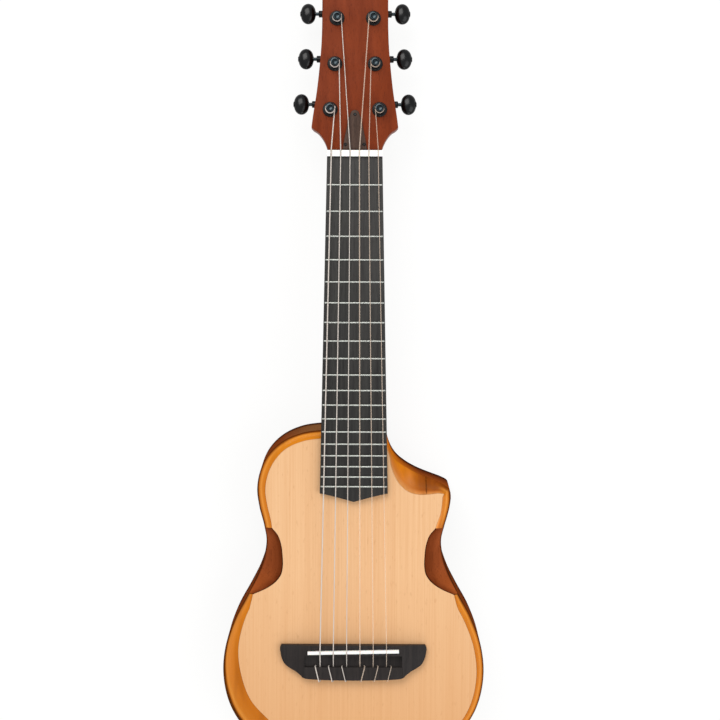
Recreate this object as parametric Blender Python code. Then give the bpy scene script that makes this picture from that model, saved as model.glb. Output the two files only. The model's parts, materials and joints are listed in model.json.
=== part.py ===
"""A guitalele: a small six-string nylon guitar, built as its separate pieces.

Metres, +Z out of the soundboard, +Y towards the head, +X towards the treble side.
The origin is the middle of the flat back. Places along the instrument are given as the
distance from the nut's front edge towards the tail, and along() turns them into Y.
"""
import math
from collections import namedtuple

import bmesh
import bpy
from mathutils import Matrix, Vector

# Glue lines and running clearances
GAP = 0.0003

# Scale, nut and fingerboard
SCALE_LENGTH = 0.432
NUT_WIDTH = 0.048
NUT_LENGTH = 0.006
NUT_HEIGHT = 0.0082
BOARD_LENGTH = 0.294
BOARD_END_WIDTH = 0.0596
BOARD_POINT = 0.0075
BOARD_PAST_FRET = 0.005
BOARD_THICKNESS = 0.0055
FRET_HEIGHT = 0.001
FRET_WIDTH = 0.002
FRET_INSET = 0.0004
TANG_DEPTH = 0.0006

# Body
BODY_TOP = 0.2393
BODY_LENGTH = 0.3107
BODY_DEPTH = 0.065
UPPER_BOUT = 0.1702
WAIST = 0.1544
LOWER_BOUT = 0.2314
TAIL_ROUNDNESS = 2.05
TAIL_SHARE = 0.3025
SOUNDBOARD_THICKNESS = 0.0025
BACK_THICKNESS = 0.0025
SIDE_THICKNESS = 0.002
STATION_SPACING = 0.011

# Amber edges: width on the soundboard's plane, and drop at the outer face
EDGE_WIDTH = 0.0064
EDGE_DROP = 0.005
EDGE_FOOT = 0.003
SHOULDER_EDGE_WIDTH = 0.0072
FLARE_EDGE_WIDTH = 0.0062
ARMREST_WIDTH = 0.0235
ARMREST_DROP = 0.0135
SCOOP_WIDTH = 0.0155
SCOOP_DROP = 0.0215

# Sound ports at the waist
PORT_DEPTH = 0.0165
PORT_DROP = 0.018
PORT_LIP = 0.004
PORT_OPENING = 0.0135
PORT_LEDGE = 0.004

# Blocks, linings and braces
LINING_WIDTH = 0.005
LINING_DEPTH = 0.009
BLOCK_WIDTH = 0.045
BLOCK_LENGTH = 0.034
TAIL_BLOCK_THICKNESS = 0.016
BRACE_WIDTH = 0.006
TOP_BRACE_HEIGHT = 0.008
BACK_BRACE_HEIGHT = 0.011
BAR_TO_BRIDGE = 0.0273
BRIDGE_PLATE_MARGIN = 0.002
BRIDGE_PLATE_LENGTH = 0.036
BRIDGE_PLATE_THICKNESS = 0.002

# Neck and head
NECK_DEPTH = 0.0135
NECK_DEPTH_HEEL = 0.016
HEEL_START = 0.197
HEEL_CAP_WIDTH = 0.024
HEEL_CAP_HEIGHT = 0.004
HEAD_ANGLE = math.radians(8.5)
HEAD_LENGTH = 0.147
HEAD_THICKNESS = 0.0135
HEAD_TOP_WIDTH = 0.0584
HEAD_EAR_WIDTH = 0.0756
HEAD_STEP = 0.0008
ROD_LENGTH = 0.218
ROD_WIDTH = 0.006
ROD_DEPTH = 0.0085
ROD_NUT_RADIUS = 0.0032
ROD_NUT_LENGTH = 0.013
POCKET_WIDTH = 0.009
POCKET_LENGTH = 0.022
COVER_LENGTH = 0.0345
COVER_BASE_WIDTH = 0.0212
COVER_THICKNESS = 0.002

# Bridge
BRIDGE_WIDTH = 0.1288
BRIDGE_LENGTH = 0.0328
BRIDGE_HEIGHT = 0.008
WING_HEIGHT = 0.0045
TIE_BLOCK_WIDTH = 0.086
TIE_BLOCK_HEIGHT = 0.0072
RECESS_PLACE = 0.0101
RECESS_LENGTH = 0.0103
RECESS_FLOOR = 0.003
STRING_HOLE_RADIUS = 0.0009
STRING_HOLE_HEIGHT = 0.0045
SADDLE_LENGTH = 0.0804
SADDLE_THICKNESS = 0.0031
SADDLE_HEIGHT = 0.0108
SADDLE_SLOT_DEPTH = 0.005
SADDLE_PAST_SCALE = 0.0027
SADDLE_FROM_FRONT = 0.0065
SADDLE_SLANT = math.radians(1.2)

# Strings, from the treble to the bass
STRING_DIAMETERS = (0.00071, 0.00082, 0.00102, 0.00076, 0.00091, 0.0011)
STRING_SPREAD_NUT = 0.0406
STRING_SPREAD_SADDLE = 0.0586
STRING_OVER_FRET = 0.0009
TIE_REACH = 0.0042
TIE_BACK = 0.0011

# Tuning machines
TUNER_FIRST = 0.035
TUNER_SPACING = 0.040
POST_PLACES = (0.0214, 0.0175, 0.0158)
POST_RADIUS = 0.003
POST_HEIGHT = 0.0112
WASHER_RADIUS = 0.0065
WASHER_THICKNESS = 0.0012
BUSHING_RADIUS = 0.0046
BUSHING_HEAD_RADIUS = 0.0053
BUSHING_HEAD = 0.0011
BUSHING_LENGTH = 0.009
WINDING_LEVEL = 0.0039
WINDING_PITCH = 0.0016
WINDING_TURNS = 2
WINDING_POINTS = 15
STRING_TAIL = 0.002
WHEEL_TEETH = 14
WHEEL_MODULE = 0.0008
WHEEL_THICKNESS = 0.003
TOOTH_HEIGHT = 0.0013
WORM_CORE = 0.0011
WORM_RADIUS = 0.0024
WORM_TURNS = 2
HOUSING_WIDTH = 0.0162
HOUSING_LENGTH = 0.0205
HOUSING_HEIGHT = 0.0108
HOUSING_WALL = 0.0013
HOUSING_BELOW = 0.0078
LUG_SCREW = 0.0028
BOSS_RADIUS = 0.003
BOSS_END = 0.0163
SHAFT_RADIUS = 0.0015
JOURNAL_RADIUS = 0.0015
KNOB_PLACE = 0.0255
KNOB_WIDTH = 0.0143
KNOB_LENGTH = 0.0182
KNOB_THICKNESS = 0.0092
KNOB_NECK_RADIUS = 0.0024

# Values worked out from the sizes above
HALF_UPPER = UPPER_BOUT / 2
HALF_WAIST = WAIST / 2
HALF_LOWER = LOWER_BOUT / 2
NUT_Y = BODY_TOP + BODY_LENGTH / 2
FRET_COUNT = int(12 * math.log2(SCALE_LENGTH / (SCALE_LENGTH + BOARD_PAST_FRET - BOARD_LENGTH)))
SADDLE_PLACE = SCALE_LENGTH + SADDLE_PAST_SCALE
BRIDGE_FRONT = SADDLE_PLACE - SADDLE_FROM_FRONT
RECESS_FRONT = BRIDGE_FRONT + RECESS_PLACE
SEAT = BODY_DEPTH - SOUNDBOARD_THICKNESS - GAP
INNER_FLOOR = BACK_THICKNESS + GAP
BOARD_BASE = BODY_DEPTH + GAP
BOARD_TOP = BOARD_BASE + BOARD_THICKNESS
FRET_TOP = BOARD_TOP + FRET_HEIGHT
BRIDGE_BASE = BODY_DEPTH + GAP
WHEEL_RADIUS = WHEEL_TEETH * WHEEL_MODULE / 2
WORM_PITCH = math.pi * WHEEL_MODULE
WORM_PLACE = WHEEL_RADIUS + 0.002
WHEEL_LEVEL = -(HEAD_THICKNESS + 0.005)
HEAD_FACE = BODY_DEPTH + HEAD_STEP
STRING_COUNT = len(STRING_DIAMETERS)

MATERIALS = {
    "spruce": ((0.80, 0.55, 0.32), 0.35, 0.0),
    "amber": ((0.62, 0.26, 0.05), 0.25, 0.0),
    "mahogany": ((0.27, 0.07, 0.035), 0.35, 0.0),
    "blockwood": ((0.55, 0.36, 0.2), 0.7, 0.0),
    "ebony": ((0.045, 0.04, 0.038), 0.5, 0.0),
    "rosewood": ((0.10, 0.06, 0.045), 0.5, 0.0),
    "bone": ((0.88, 0.87, 0.82), 0.3, 0.0),
    "fret_wire": ((0.75, 0.75, 0.73), 0.25, 1.0),
    "black_metal": ((0.02, 0.02, 0.022), 0.25, 0.6),
    "dark_chrome": ((0.35, 0.36, 0.38), 0.2, 1.0),
    "steel": ((0.5, 0.5, 0.5), 0.35, 1.0),
    "nylon": ((0.85, 0.82, 0.75), 0.3, 0.0),
    "wound": ((0.65, 0.62, 0.58), 0.35, 1.0),
}

Station = namedtuple("Station", "point inward width drop bulge")


def along(distance):
    """Y of a place that lies this far from the nut towards the tail."""
    return NUT_Y - distance


def material(name):
    """The named Principled material, made at its first use."""
    found = bpy.data.materials.get(name)
    if found:
        return found
    colour, roughness, metallic = MATERIALS[name]
    made = bpy.data.materials.new(name)
    made.use_nodes = True
    shader = made.node_tree.nodes["Principled BSDF"]
    shader.inputs["Base Color"].default_value = (*colour, 1.0)
    shader.inputs["Roughness"].default_value = roughness
    shader.inputs["Metallic"].default_value = metallic
    return made


def add_object(name, mesh, finish, frame=None, smooth=True):
    """Puts a mesh in the scene under a node's name, placed by its frame."""
    thing = bpy.data.objects.new(name, mesh)
    bpy.context.collection.objects.link(thing)
    thing.data.materials.clear()
    thing.data.materials.append(material(finish))
    if frame is not None:
        thing.matrix_world = frame
    if smooth:
        mesh.shade_smooth()
        mesh.set_sharp_from_angle(angle=math.radians(35))
    return thing


def finish_mesh(bm):
    """Turns a bmesh into a mesh with its faces pointing out."""
    bmesh.ops.recalc_face_normals(bm, faces=bm.faces)
    mesh = bpy.data.meshes.new("solid")
    bm.to_mesh(mesh)
    bm.free()
    return mesh


def loft(sections, closed=False):
    """Joins equal sections of 3D points into one solid, capped at its ends unless closed."""
    bm = bmesh.new()
    rings = [[bm.verts.new(point) for point in section] for section in sections]
    count = len(rings[0])
    pairs = list(zip(rings, rings[1:]))
    if closed:
        pairs.append((rings[-1], rings[0]))
    for first, second in pairs:
        for index in range(count):
            after = (index + 1) % count
            bm.faces.new((first[index], first[after], second[after], second[index]))
    if not closed:
        bm.faces.new(rings[0])
        bm.faces.new(rings[-1])
    return finish_mesh(bm)


def prism(outline, low, high):
    """A plate: a closed outline of XY points, between two heights."""
    return loft([[(x, y, low) for x, y in outline], [(x, y, high) for x, y in outline]])


def slab(profile, left, right):
    """A bar along X: a closed profile of YZ points, between two X values."""
    return loft([[(left, y, z) for y, z in profile], [(right, y, z) for y, z in profile]])


def block(low, high):
    """A rectangular solid between two corners."""
    outline = [(low[0], low[1]), (high[0], low[1]), (high[0], high[1]), (low[0], high[1])]
    return prism(outline, low[2], high[2])


def turned(profile, sides, axis="Z"):
    """A solid of revolution from (radius, height) points; a first and last radius of 0 closes it."""
    bm = bmesh.new()
    rings = []
    for radius, height in profile:
        ring = []
        for index in range(sides):
            angle = 2 * math.pi * index / sides
            flat = (radius * math.cos(angle), radius * math.sin(angle))
            ring.append((height, *flat) if axis == "X" else (*flat, height))
        rings.append([bm.verts.new(point) for point in ring])
    for first, second in zip(rings, rings[1:]):
        for index in range(sides):
            after = (index + 1) % sides
            bm.faces.new((first[index], first[after], second[after], second[index]))
    bm.faces.new(rings[0])
    bm.faces.new(rings[-1])
    return finish_mesh(bm)


def ring_solid(profile, sides):
    """A ring of revolution about Z from a closed profile of (radius, height) points."""
    sections = []
    for index in range(sides):
        angle = 2 * math.pi * index / sides
        sections.append([(r * math.cos(angle), r * math.sin(angle), z) for r, z in profile])
    return loft(sections, closed=True)


def moved(mesh, matrix):
    """A copy of a mesh, moved by a matrix, its faces turned back if the matrix mirrors it."""
    copy = mesh.copy()
    copy.transform(matrix)
    if matrix.determinant() < 0:
        copy.flip_normals()
    return copy


def combined(mesh, cutter, operation):
    """The exact Boolean of two meshes."""
    target = bpy.data.objects.new("boolean_target", mesh)
    tool = bpy.data.objects.new("boolean_tool", cutter)
    bpy.context.collection.objects.link(target)
    bpy.context.collection.objects.link(tool)
    modifier = target.modifiers.new("cut", "BOOLEAN")
    modifier.operation = operation
    modifier.solver = "EXACT"
    modifier.use_self = False
    modifier.object = tool
    bpy.context.view_layer.update()
    depsgraph = bpy.context.evaluated_depsgraph_get()
    result = bpy.data.meshes.new_from_object(target.evaluated_get(depsgraph))
    bpy.data.objects.remove(target)
    bpy.data.objects.remove(tool)
    bm = bmesh.new()
    bm.from_mesh(result)
    bmesh.ops.dissolve_degenerate(bm, dist=1e-7, edges=bm.edges)
    return finish_mesh(bm)


def cut(mesh, *cutters):
    """A mesh with each cutter taken out of it."""
    for cutter in cutters:
        mesh = combined(mesh, cutter, "DIFFERENCE")
    return mesh


def unite(mesh, *others):
    """A mesh grown together with the others."""
    for other in others:
        mesh = combined(mesh, other, "UNION")
    return mesh


def curve_through(points, spacing, closed=False):
    """A smooth curve through control points of any dimension, sampled about every spacing.

    Each span is a cubic whose end tangents follow the neighbouring points by chord length.
    Returns the samples and the sample index of each control point.
    """
    count = len(points)
    values = [Vector(point) for point in points]
    chords = []
    for index in range(count if closed else count - 1):
        step = values[(index + 1) % count] - values[index]
        chords.append(math.hypot(step[0], step[1]))

    def tangent(index):
        if not closed and index in (0, count - 1):
            near = 0 if index == 0 else count - 2
            return (values[near + 1] - values[near]) / chords[near]
        before, after = chords[index - 1], chords[index % len(chords)]
        slope_before = (values[index] - values[index - 1]) / before
        slope_after = (values[(index + 1) % count] - values[index]) / after
        return (slope_before * after + slope_after * before) / (before + after)

    samples, marks = [], []
    for index, chord in enumerate(chords):
        marks.append(len(samples))
        start, end = values[index], values[(index + 1) % count]
        lead, tail = tangent(index) * chord, tangent((index + 1) % count) * chord
        steps = max(1, round(chord / spacing))
        for step in range(steps):
            t = step / steps
            samples.append(start * (2 * t**3 - 3 * t**2 + 1) + lead * (t**3 - 2 * t**2 + t)
                           + end * (3 * t**2 - 2 * t**3) + tail * (t**3 - t**2))
    if not closed:
        marks.append(len(samples))
        samples.append(values[-1])
    return samples, marks


def tail_point(angle, side):
    """A place on the rounded lower bout: angle 0 is its widest, 90 degrees the tail's centre."""
    power = 2 / TAIL_ROUNDNESS
    depth = BODY_LENGTH * TAIL_SHARE
    x = side * HALF_LOWER * math.cos(angle) ** power
    return x, BODY_LENGTH - depth + depth * math.sin(angle) ** power


def outline_rows():
    """The body's outline from the neck round the bass side, the tail and the treble side.

    Each row is a name, X, the distance from the body's upper edge, and the edge's width,
    drop and bulge there. A bulge of 1 is a quarter ellipse, 0 a flat bevel, below 0 a hollow.
    """
    up, waist, low, length = HALF_UPPER, HALF_WAIST, HALF_LOWER, BODY_LENGTH
    edge, shoulder, flare, drop = EDGE_WIDTH, SHOULDER_EDGE_WIDTH, FLARE_EDGE_WIDTH, EDGE_DROP
    rest, rest_drop, scoop, scoop_drop = ARMREST_WIDTH, ARMREST_DROP, SCOOP_WIDTH, SCOOP_DROP
    rows = [
        ("neck", 0.0, 0.0, edge, drop, 1),
        ("bass_heel", -0.329 * up, 0.001 * length, edge, drop, 1),
        ("", -0.552 * up, 0.0106 * length, edge, drop, 1),
        ("", -0.758 * up, 0.0373 * length, edge, drop, 1),
        ("", -0.899 * up, 0.0769 * length, shoulder, drop, 1),
        ("", -0.978 * up, 0.1262 * length, shoulder, drop, 1),
        ("", -1.000 * up, 0.1712 * length, shoulder, drop, 1),
        ("", -0.978 * up, 0.2179 * length, shoulder, drop, 1),
        ("bass_port", -1.018 * waist, 0.2778 * length, shoulder, drop, 1),
        ("", -1.000 * waist, 0.3145 * length, shoulder, drop, 1),
        ("", -1.023 * waist, 0.3614 * length, shoulder, drop, 1),
        ("", -0.7286 * low, 0.4152 * length, flare, drop, 1),
        ("bass_flare", -0.799 * low, 0.4680 * length, flare, 1.3 * drop, 1),
        ("", -0.8998 * low, 0.5372 * length, 1.3 * flare, 1.3 * drop, 0.9),
        ("", -0.9771 * low, 0.6186 * length, 0.49 * rest, 0.55 * rest_drop, 0.8),
        ("", -1.000 * low, (1 - TAIL_SHARE) * length, 0.68 * rest, 0.7 * rest_drop, 0.7),
    ]
    armrest = ((20, 0.86, 0.87), (38, 1.0, 1.0), (56, 0.9, 0.9), (73, 0.58, 0.65))
    for degrees, width_share, drop_share in armrest:
        name = "tail_bass" if degrees == 73 else ""
        place = tail_point(math.radians(degrees), -1)
        rows.append((name, *place, width_share * rest, drop_share * rest_drop, 0.6))
    rows.append(("tail", 0.0, length, 1.25 * edge, 1.2 * drop, 0.9))
    for degrees in (73, 56, 38, 20):
        name = "tail_treble" if degrees == 73 else ""
        rows.append((name, *tail_point(math.radians(degrees), 1), edge, drop, 1))
    rows += [
        ("", 1.000 * low, (1 - TAIL_SHARE) * length, edge, drop, 1),
        ("", 0.9771 * low, 0.6186 * length, edge, drop, 1),
        ("", 0.8998 * low, 0.5372 * length, edge, 1.1 * drop, 1),
        ("treble_flare", 0.799 * low, 0.4680 * length, flare, 1.3 * drop, 1),
        ("", 0.7286 * low, 0.4152 * length, flare, drop, 1),
        ("", 1.023 * waist, 0.3614 * length, shoulder, drop, 1),
        ("", 1.004 * waist, 0.3145 * length, shoulder, drop, 1),
        ("treble_port", 1.031 * waist, 0.2778 * length, edge, drop, 1),
        ("", 0.971 * up, 0.2430 * length, edge, drop, 1),
        ("horn_side", 0.998 * up, 0.2092 * length, shoulder, drop, 1),
        ("", 1.005 * up, 0.1857 * length, shoulder, 1.2 * drop, 0.8),
        ("", 0.993 * up, 0.1703 * length, 0.78 * shoulder, 0.42 * scoop_drop, 0.4),
        ("", 0.928 * up, 0.1590 * length, 0.40 * scoop, 0.62 * scoop_drop, 0.0),
        ("scoop_edge", 0.846 * up, 0.1503 * length, 0.62 * scoop, 0.88 * scoop_drop, -0.3),
        ("seam", 0.752 * up, 0.1407 * length, 0.88 * scoop, scoop_drop, -0.4),
        ("", 0.650 * up, 0.1287 * length, scoop, scoop_drop, -0.4),
        ("", 0.545 * up, 0.1123 * length, 0.83 * scoop, 0.86 * scoop_drop, -0.3),
        ("", 0.450 * up, 0.0911 * length, 0.44 * scoop, 0.6 * scoop_drop, -0.1),
        ("", 0.3925 * up, 0.0686 * length, 0.16 * scoop, 0.35 * scoop_drop, 0.3),
        ("treble_heel", 0.355 * up, 0.0425 * length, 0.30 * edge, 0.6 * drop, 0.8),
        ("", 0.335 * up, 0.0180 * length, 0.50 * edge, 0.8 * drop, 1),
        ("", 0.302 * up, 0.0045 * length, 0.80 * edge, drop, 1),
        ("", 0.262 * up, 0.0003 * length, edge, drop, 1),
        ("", 0.205 * up, 0.0002 * length, edge, drop, 1),
    ]
    return rows


class Body:
    """The body's outline as stations, and the runs of it that each piece follows."""

    def __init__(self):
        rows = outline_rows()
        controls = [(row[1], along(BODY_TOP + row[2]), *row[3:]) for row in rows]
        samples, marks = curve_through(controls, STATION_SPACING, closed=True)
        self.marks = {row[0]: mark for row, mark in zip(rows, marks) if row[0]}
        self.stations = []
        count = len(samples)
        for index, sample in enumerate(samples):
            ahead = samples[(index + 1) % count].xy - samples[index - 1].xy
            ahead.normalize()
            inward = Vector((-ahead.y, ahead.x))
            self.stations.append(Station(sample.xy, inward, sample[2], sample[3], sample[4]))
        self.ports = {side: self.port_run(side) for side in ("bass", "treble")}
        self.skew_port_ends()

    def run(self, start, end):
        """The stations from one named place to another, drawn in half a glue line at each end."""
        first, last = self.marks[start], self.marks[end]
        if last <= first:
            last += len(self.stations)
        picked = [self.stations[index % len(self.stations)] for index in range(first, last + 1)]
        for place, beside in ((0, 1), (-1, -2)):
            step = (picked[beside].point - picked[place].point).normalized() * GAP / 2
            picked[place] = picked[place]._replace(point=picked[place].point + step)
        return picked

    def port_run(self, side):
        """The stations of one sound port, each aimed at its place on the port's inner arc."""
        names = ("bass_port", "bass_flare") if side == "bass" else ("treble_flare", "treble_port")
        run = self.run(*names)
        sign = -1 if side == "bass" else 1
        half, depth = HALF_WAIST, PORT_DEPTH
        top, length = BODY_TOP + 0.2778 * BODY_LENGTH, 0.1902 * BODY_LENGTH
        drawn = (
            (half - 0.0052, 0.004), (half - 0.1 * depth - 0.0084, 0.10), (half - 0.8 * depth, 0.243),
            (half - 0.88 * depth, 0.42), (half - 0.89 * depth, 0.585), (half - 0.82 * depth, 0.69),
            (half - 0.61 * depth, 0.785), (half - 0.18 * depth, 0.885), (half + 0.26 * depth, 0.95),
            (half + 0.0116, 1.0))
        controls = [(sign * x, along(top + share * length)) for x, share in drawn]
        if side == "treble":
            controls.reverse()
        arc, _ = curve_through(controls, STATION_SPACING / 6)
        lengths = [0.0]
        for first, second in zip(arc, arc[1:]):
            lengths.append(lengths[-1] + (second - first).length)
        aimed = []
        for index, station in enumerate(run):
            wanted = lengths[-1] * index / (len(run) - 1)
            place = next(number for number, value in enumerate(lengths) if value >= wanted - 1e-9)
            across = arc[place] - station.point
            share = index / (len(run) - 1)
            lip = EDGE_DROP + (PORT_DROP - EDGE_DROP) * math.sin(math.pi * share)
            aimed.append(Station(station.point, across.normalized(), across.length, lip, -0.35))
        return aimed

    def skew_port_ends(self):
        """Turns the edge at a port's end so that its end face lies along the port's end face."""
        for name, side, place in (("bass_port", "bass", 0), ("bass_flare", "bass", -1),
                                  ("treble_flare", "treble", 0), ("treble_port", "treble", -1)):
            mark, port = self.marks[name], self.ports[side][place]
            old = self.stations[mark]
            self.stations[mark] = old._replace(inward=port.inward, width=port.width)

    def edge_inner(self):
        """The soundboard's outline: the inner line of the edges and of the port blocks."""
        parts = (self.run("neck", "bass_port"), self.ports["bass"][1:-1],
                 self.run("bass_flare", "tail"), self.run("tail", "treble_flare")[1:],
                 self.ports["treble"][1:-1], self.run("treble_port", "neck")[:-1])
        points = []
        for part in parts:
            points += [station.point + station.inward * station.width for station in part]
        return points

    def half_width(self, distance, side):
        """Half of the body's width at a distance from the nut, on side -1 or 1."""
        level = along(distance)
        widths = []
        for first, second in zip(self.stations, self.stations[1:]):
            low, high = sorted((first.point.y, second.point.y))
            if low <= level <= high and high > low and first.point.x * side > 0:
                share = (level - first.point.y) / (second.point.y - first.point.y)
                widths.append(abs(first.point.x + share * (second.point.x - first.point.x)))
        return max(widths)


def offset_outline(points, distance):
    """A closed outline of points, moved inwards by a distance."""
    result = []
    count = len(points)
    for index, point in enumerate(points):
        ahead = (points[(index + 1) % count] - points[index - 1]).normalized()
        result.append(point + Vector((-ahead.y, ahead.x)) * distance)
    return result


def swept(stations, section):
    """A solid along stations; section gives (distance inwards, height) points at a station."""
    sections = []
    for index, station in enumerate(stations):
        sections.append([(*(station.point + station.inward * inwards), height)
                         for inwards, height in section(station, index / (len(stations) - 1))])
    return loft(sections)


def rounded_top(station, steps=3):
    """The upper surface of an edge, from its outer face to the soundboard."""
    points = []
    base = BODY_DEPTH - station.drop
    for step in range(steps + 1):
        share = step / steps
        angle = share * math.pi / 2
        inwards = share + station.bulge * (1 - math.cos(angle) - share)
        rise = share + station.bulge * (math.sin(angle) - share)
        points.append((station.width * inwards, base + station.drop * rise))
    return points


def foot_height(station):
    """Height of the lower face of an edge."""
    return BODY_DEPTH - station.drop - EDGE_FOOT


def edge_section(station, _share):
    foot = foot_height(station)
    return [(0, foot), *rounded_top(station), (station.width, foot)]


def ledged_section(station, _share):
    """An edge with a ledge of its own under the soundboard, where no lining runs."""
    foot = foot_height(station)
    reach, ledge = station.width, 1.4 * station.width
    return [(0, foot), *rounded_top(station), (reach, SEAT), (ledge, SEAT), (ledge, min(foot, SEAT - EDGE_FOOT)),
            (SIDE_THICKNESS + GAP, foot)]


def side_section(station, _share):
    top = foot_height(station) - GAP
    return [(0, INNER_FLOOR), (0, top), (SIDE_THICKNESS, top), (SIDE_THICKNESS, INNER_FLOOR)]


def port_lower(station, share):
    """Top of the side wall under a sound port."""
    opening = PORT_OPENING * max(0.0, math.sin(math.pi * share)) ** 0.35
    return BODY_DEPTH - station.drop - PORT_LIP - GAP - opening


def lining_section(station, _share):
    inner = SIDE_THICKNESS + GAP
    foot = foot_height(station) - GAP
    reach = station.width + GAP
    return [(inner, foot - LINING_DEPTH), (inner, foot), (reach, foot), (reach, SEAT),
            (reach + LINING_WIDTH, SEAT), (reach + LINING_WIDTH, foot - 0.3 * LINING_DEPTH),
            (inner + 0.6 * LINING_WIDTH, foot - LINING_DEPTH)]


def tail_block_section(station, _share):
    inner = SIDE_THICKNESS + GAP
    sole = INNER_FLOOR + LINING_DEPTH + GAP
    shelf = foot_height(station) - LINING_DEPTH - 2 * GAP
    reach = station.width + LINING_WIDTH + 2 * GAP
    deep = reach + 0.6 * TAIL_BLOCK_THICKNESS
    return [(inner, sole), (inner, shelf), (reach, shelf), (reach, SEAT), (deep, SEAT), (deep, INNER_FLOOR),
            (inner + LINING_WIDTH + GAP, INNER_FLOOR), (inner + LINING_WIDTH + GAP, sole)]


def back_lining_section(_station, _share):
    inner = SIDE_THICKNESS + GAP
    return [(inner, INNER_FLOOR), (inner, INNER_FLOOR + LINING_DEPTH),
            (inner + 0.3 * LINING_WIDTH, INNER_FLOOR + LINING_DEPTH),
            (inner + LINING_WIDTH, INNER_FLOOR + 0.3 * LINING_DEPTH),
            (inner + LINING_WIDTH, INNER_FLOOR)]


def port_block_section(station, _share):
    lip = BODY_DEPTH - station.drop
    reach, ledge = station.width, station.width + PORT_LEDGE
    return [(0, lip - PORT_LIP), *rounded_top(station), (reach, SEAT), (ledge, SEAT),
            (ledge, SEAT - PORT_LIP), (0.55 * reach, lip - 0.6 * PORT_LIP)]


def build_plates(body):
    """Soundboard and back."""
    board = [tuple(point) for point in offset_outline(body.edge_inner(), GAP)]
    low = BODY_DEPTH - SOUNDBOARD_THICKNESS
    add_object("soundboard", prism(board, low, BODY_DEPTH), "spruce", smooth=False)
    outline = [tuple(station.point) for station in body.stations]
    add_object("back_plate", prism(outline, 0, BACK_THICKNESS), "mahogany", smooth=False)


def side_run(body, side):
    """Stations and section shares of one side wall, with the port's lower edge in it."""
    port = body.ports[side]
    heights = {}
    for index, station in enumerate(port):
        heights[tuple(station.point)] = port_lower(station, index / (len(port) - 1))
    return heights


def build_sides(body):
    """The bent side walls, with a sound opening under each port block."""
    for side, start, end in (("bass", "neck", "tail"), ("treble", "tail", "neck")):
        heights = side_run(body, side)

        def section(station, share, heights=heights):
            wall = side_section(station, share)
            near = [height for point, height in heights.items()
                    if math.dist(point, station.point) < STATION_SPACING / 6]
            if near:
                top = min(near[0], wall[1][1])
                wall[1] = (wall[1][0], top)
                wall[2] = (wall[2][0], top)
            return wall

        add_object(f"side_{side}", swept(body.run(start, end), section), "mahogany")


def build_edges(body):
    """The amber edges and the mahogany port blocks, flush with the soundboard."""
    for name, start, end, section in (("edge_bass_upper", "neck", "bass_port", edge_section),
                                      ("edge_lower", "bass_flare", "treble_flare", edge_section),
                                      ("edge_horn", "treble_port", "seam", ledged_section),
                                      ("edge_cutaway", "seam", "neck", ledged_section)):
        add_object(name, swept(body.run(start, end), section), "amber")
    for side in ("bass", "treble"):
        block_mesh = swept(body.ports[side], port_block_section)
        add_object(f"port_block_{side}", block_mesh, "mahogany")


def build_blocks(body):
    """Neck block, tail block and the linings."""
    inner = BODY_TOP + SIDE_THICKNESS + 2 * GAP
    foot = inner + LINING_WIDTH + GAP
    step = BODY_TOP + EDGE_WIDTH + LINING_WIDTH + 3 * GAP
    end = inner + BLOCK_LENGTH
    sole = INNER_FLOOR + LINING_DEPTH + GAP
    shelf = BODY_DEPTH - EDGE_DROP - EDGE_FOOT - LINING_DEPTH - 2 * GAP
    profile = [(along(foot), INNER_FLOOR), (along(end), INNER_FLOOR), (along(end), SEAT),
               (along(step), SEAT), (along(step), shelf), (along(inner), shelf),
               (along(inner), sole), (along(foot), sole)]
    half = BLOCK_WIDTH / 2
    add_object("neck_block", slab(profile, -half, half), "blockwood", smooth=False)
    tail = swept(body.run("tail_bass", "tail_treble"), tail_block_section)
    add_object("tail_block", tail, "blockwood", smooth=False)
    for name, start, end_name, section in (
            ("top_lining_upper", "neck", "bass_port", lining_section),
            ("top_lining_lower", "bass_flare", "treble_flare", lining_section),
            ("back_lining", "bass_heel", "treble_heel", back_lining_section)):
        add_object(name, swept(body.run(start, end_name), section), "blockwood", smooth=False)


def brace(start, end, low, high, width=BRACE_WIDTH):
    """A straight brace between two (X, distance) places, from its glued edge to its narrower free edge."""
    first = Vector((start[0], along(start[1])))
    last = Vector((end[0], along(end[1])))
    ahead = (last - first).normalized()
    across = Vector((-ahead.y, ahead.x)) * width / 2
    sections = []
    for place in (first, last):
        sections.append([(*(place - across), low), (*(place + across), low),
                         (*(place + 0.5 * across), high), (*(place - 0.5 * across), high)])
    return loft(sections)


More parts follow.
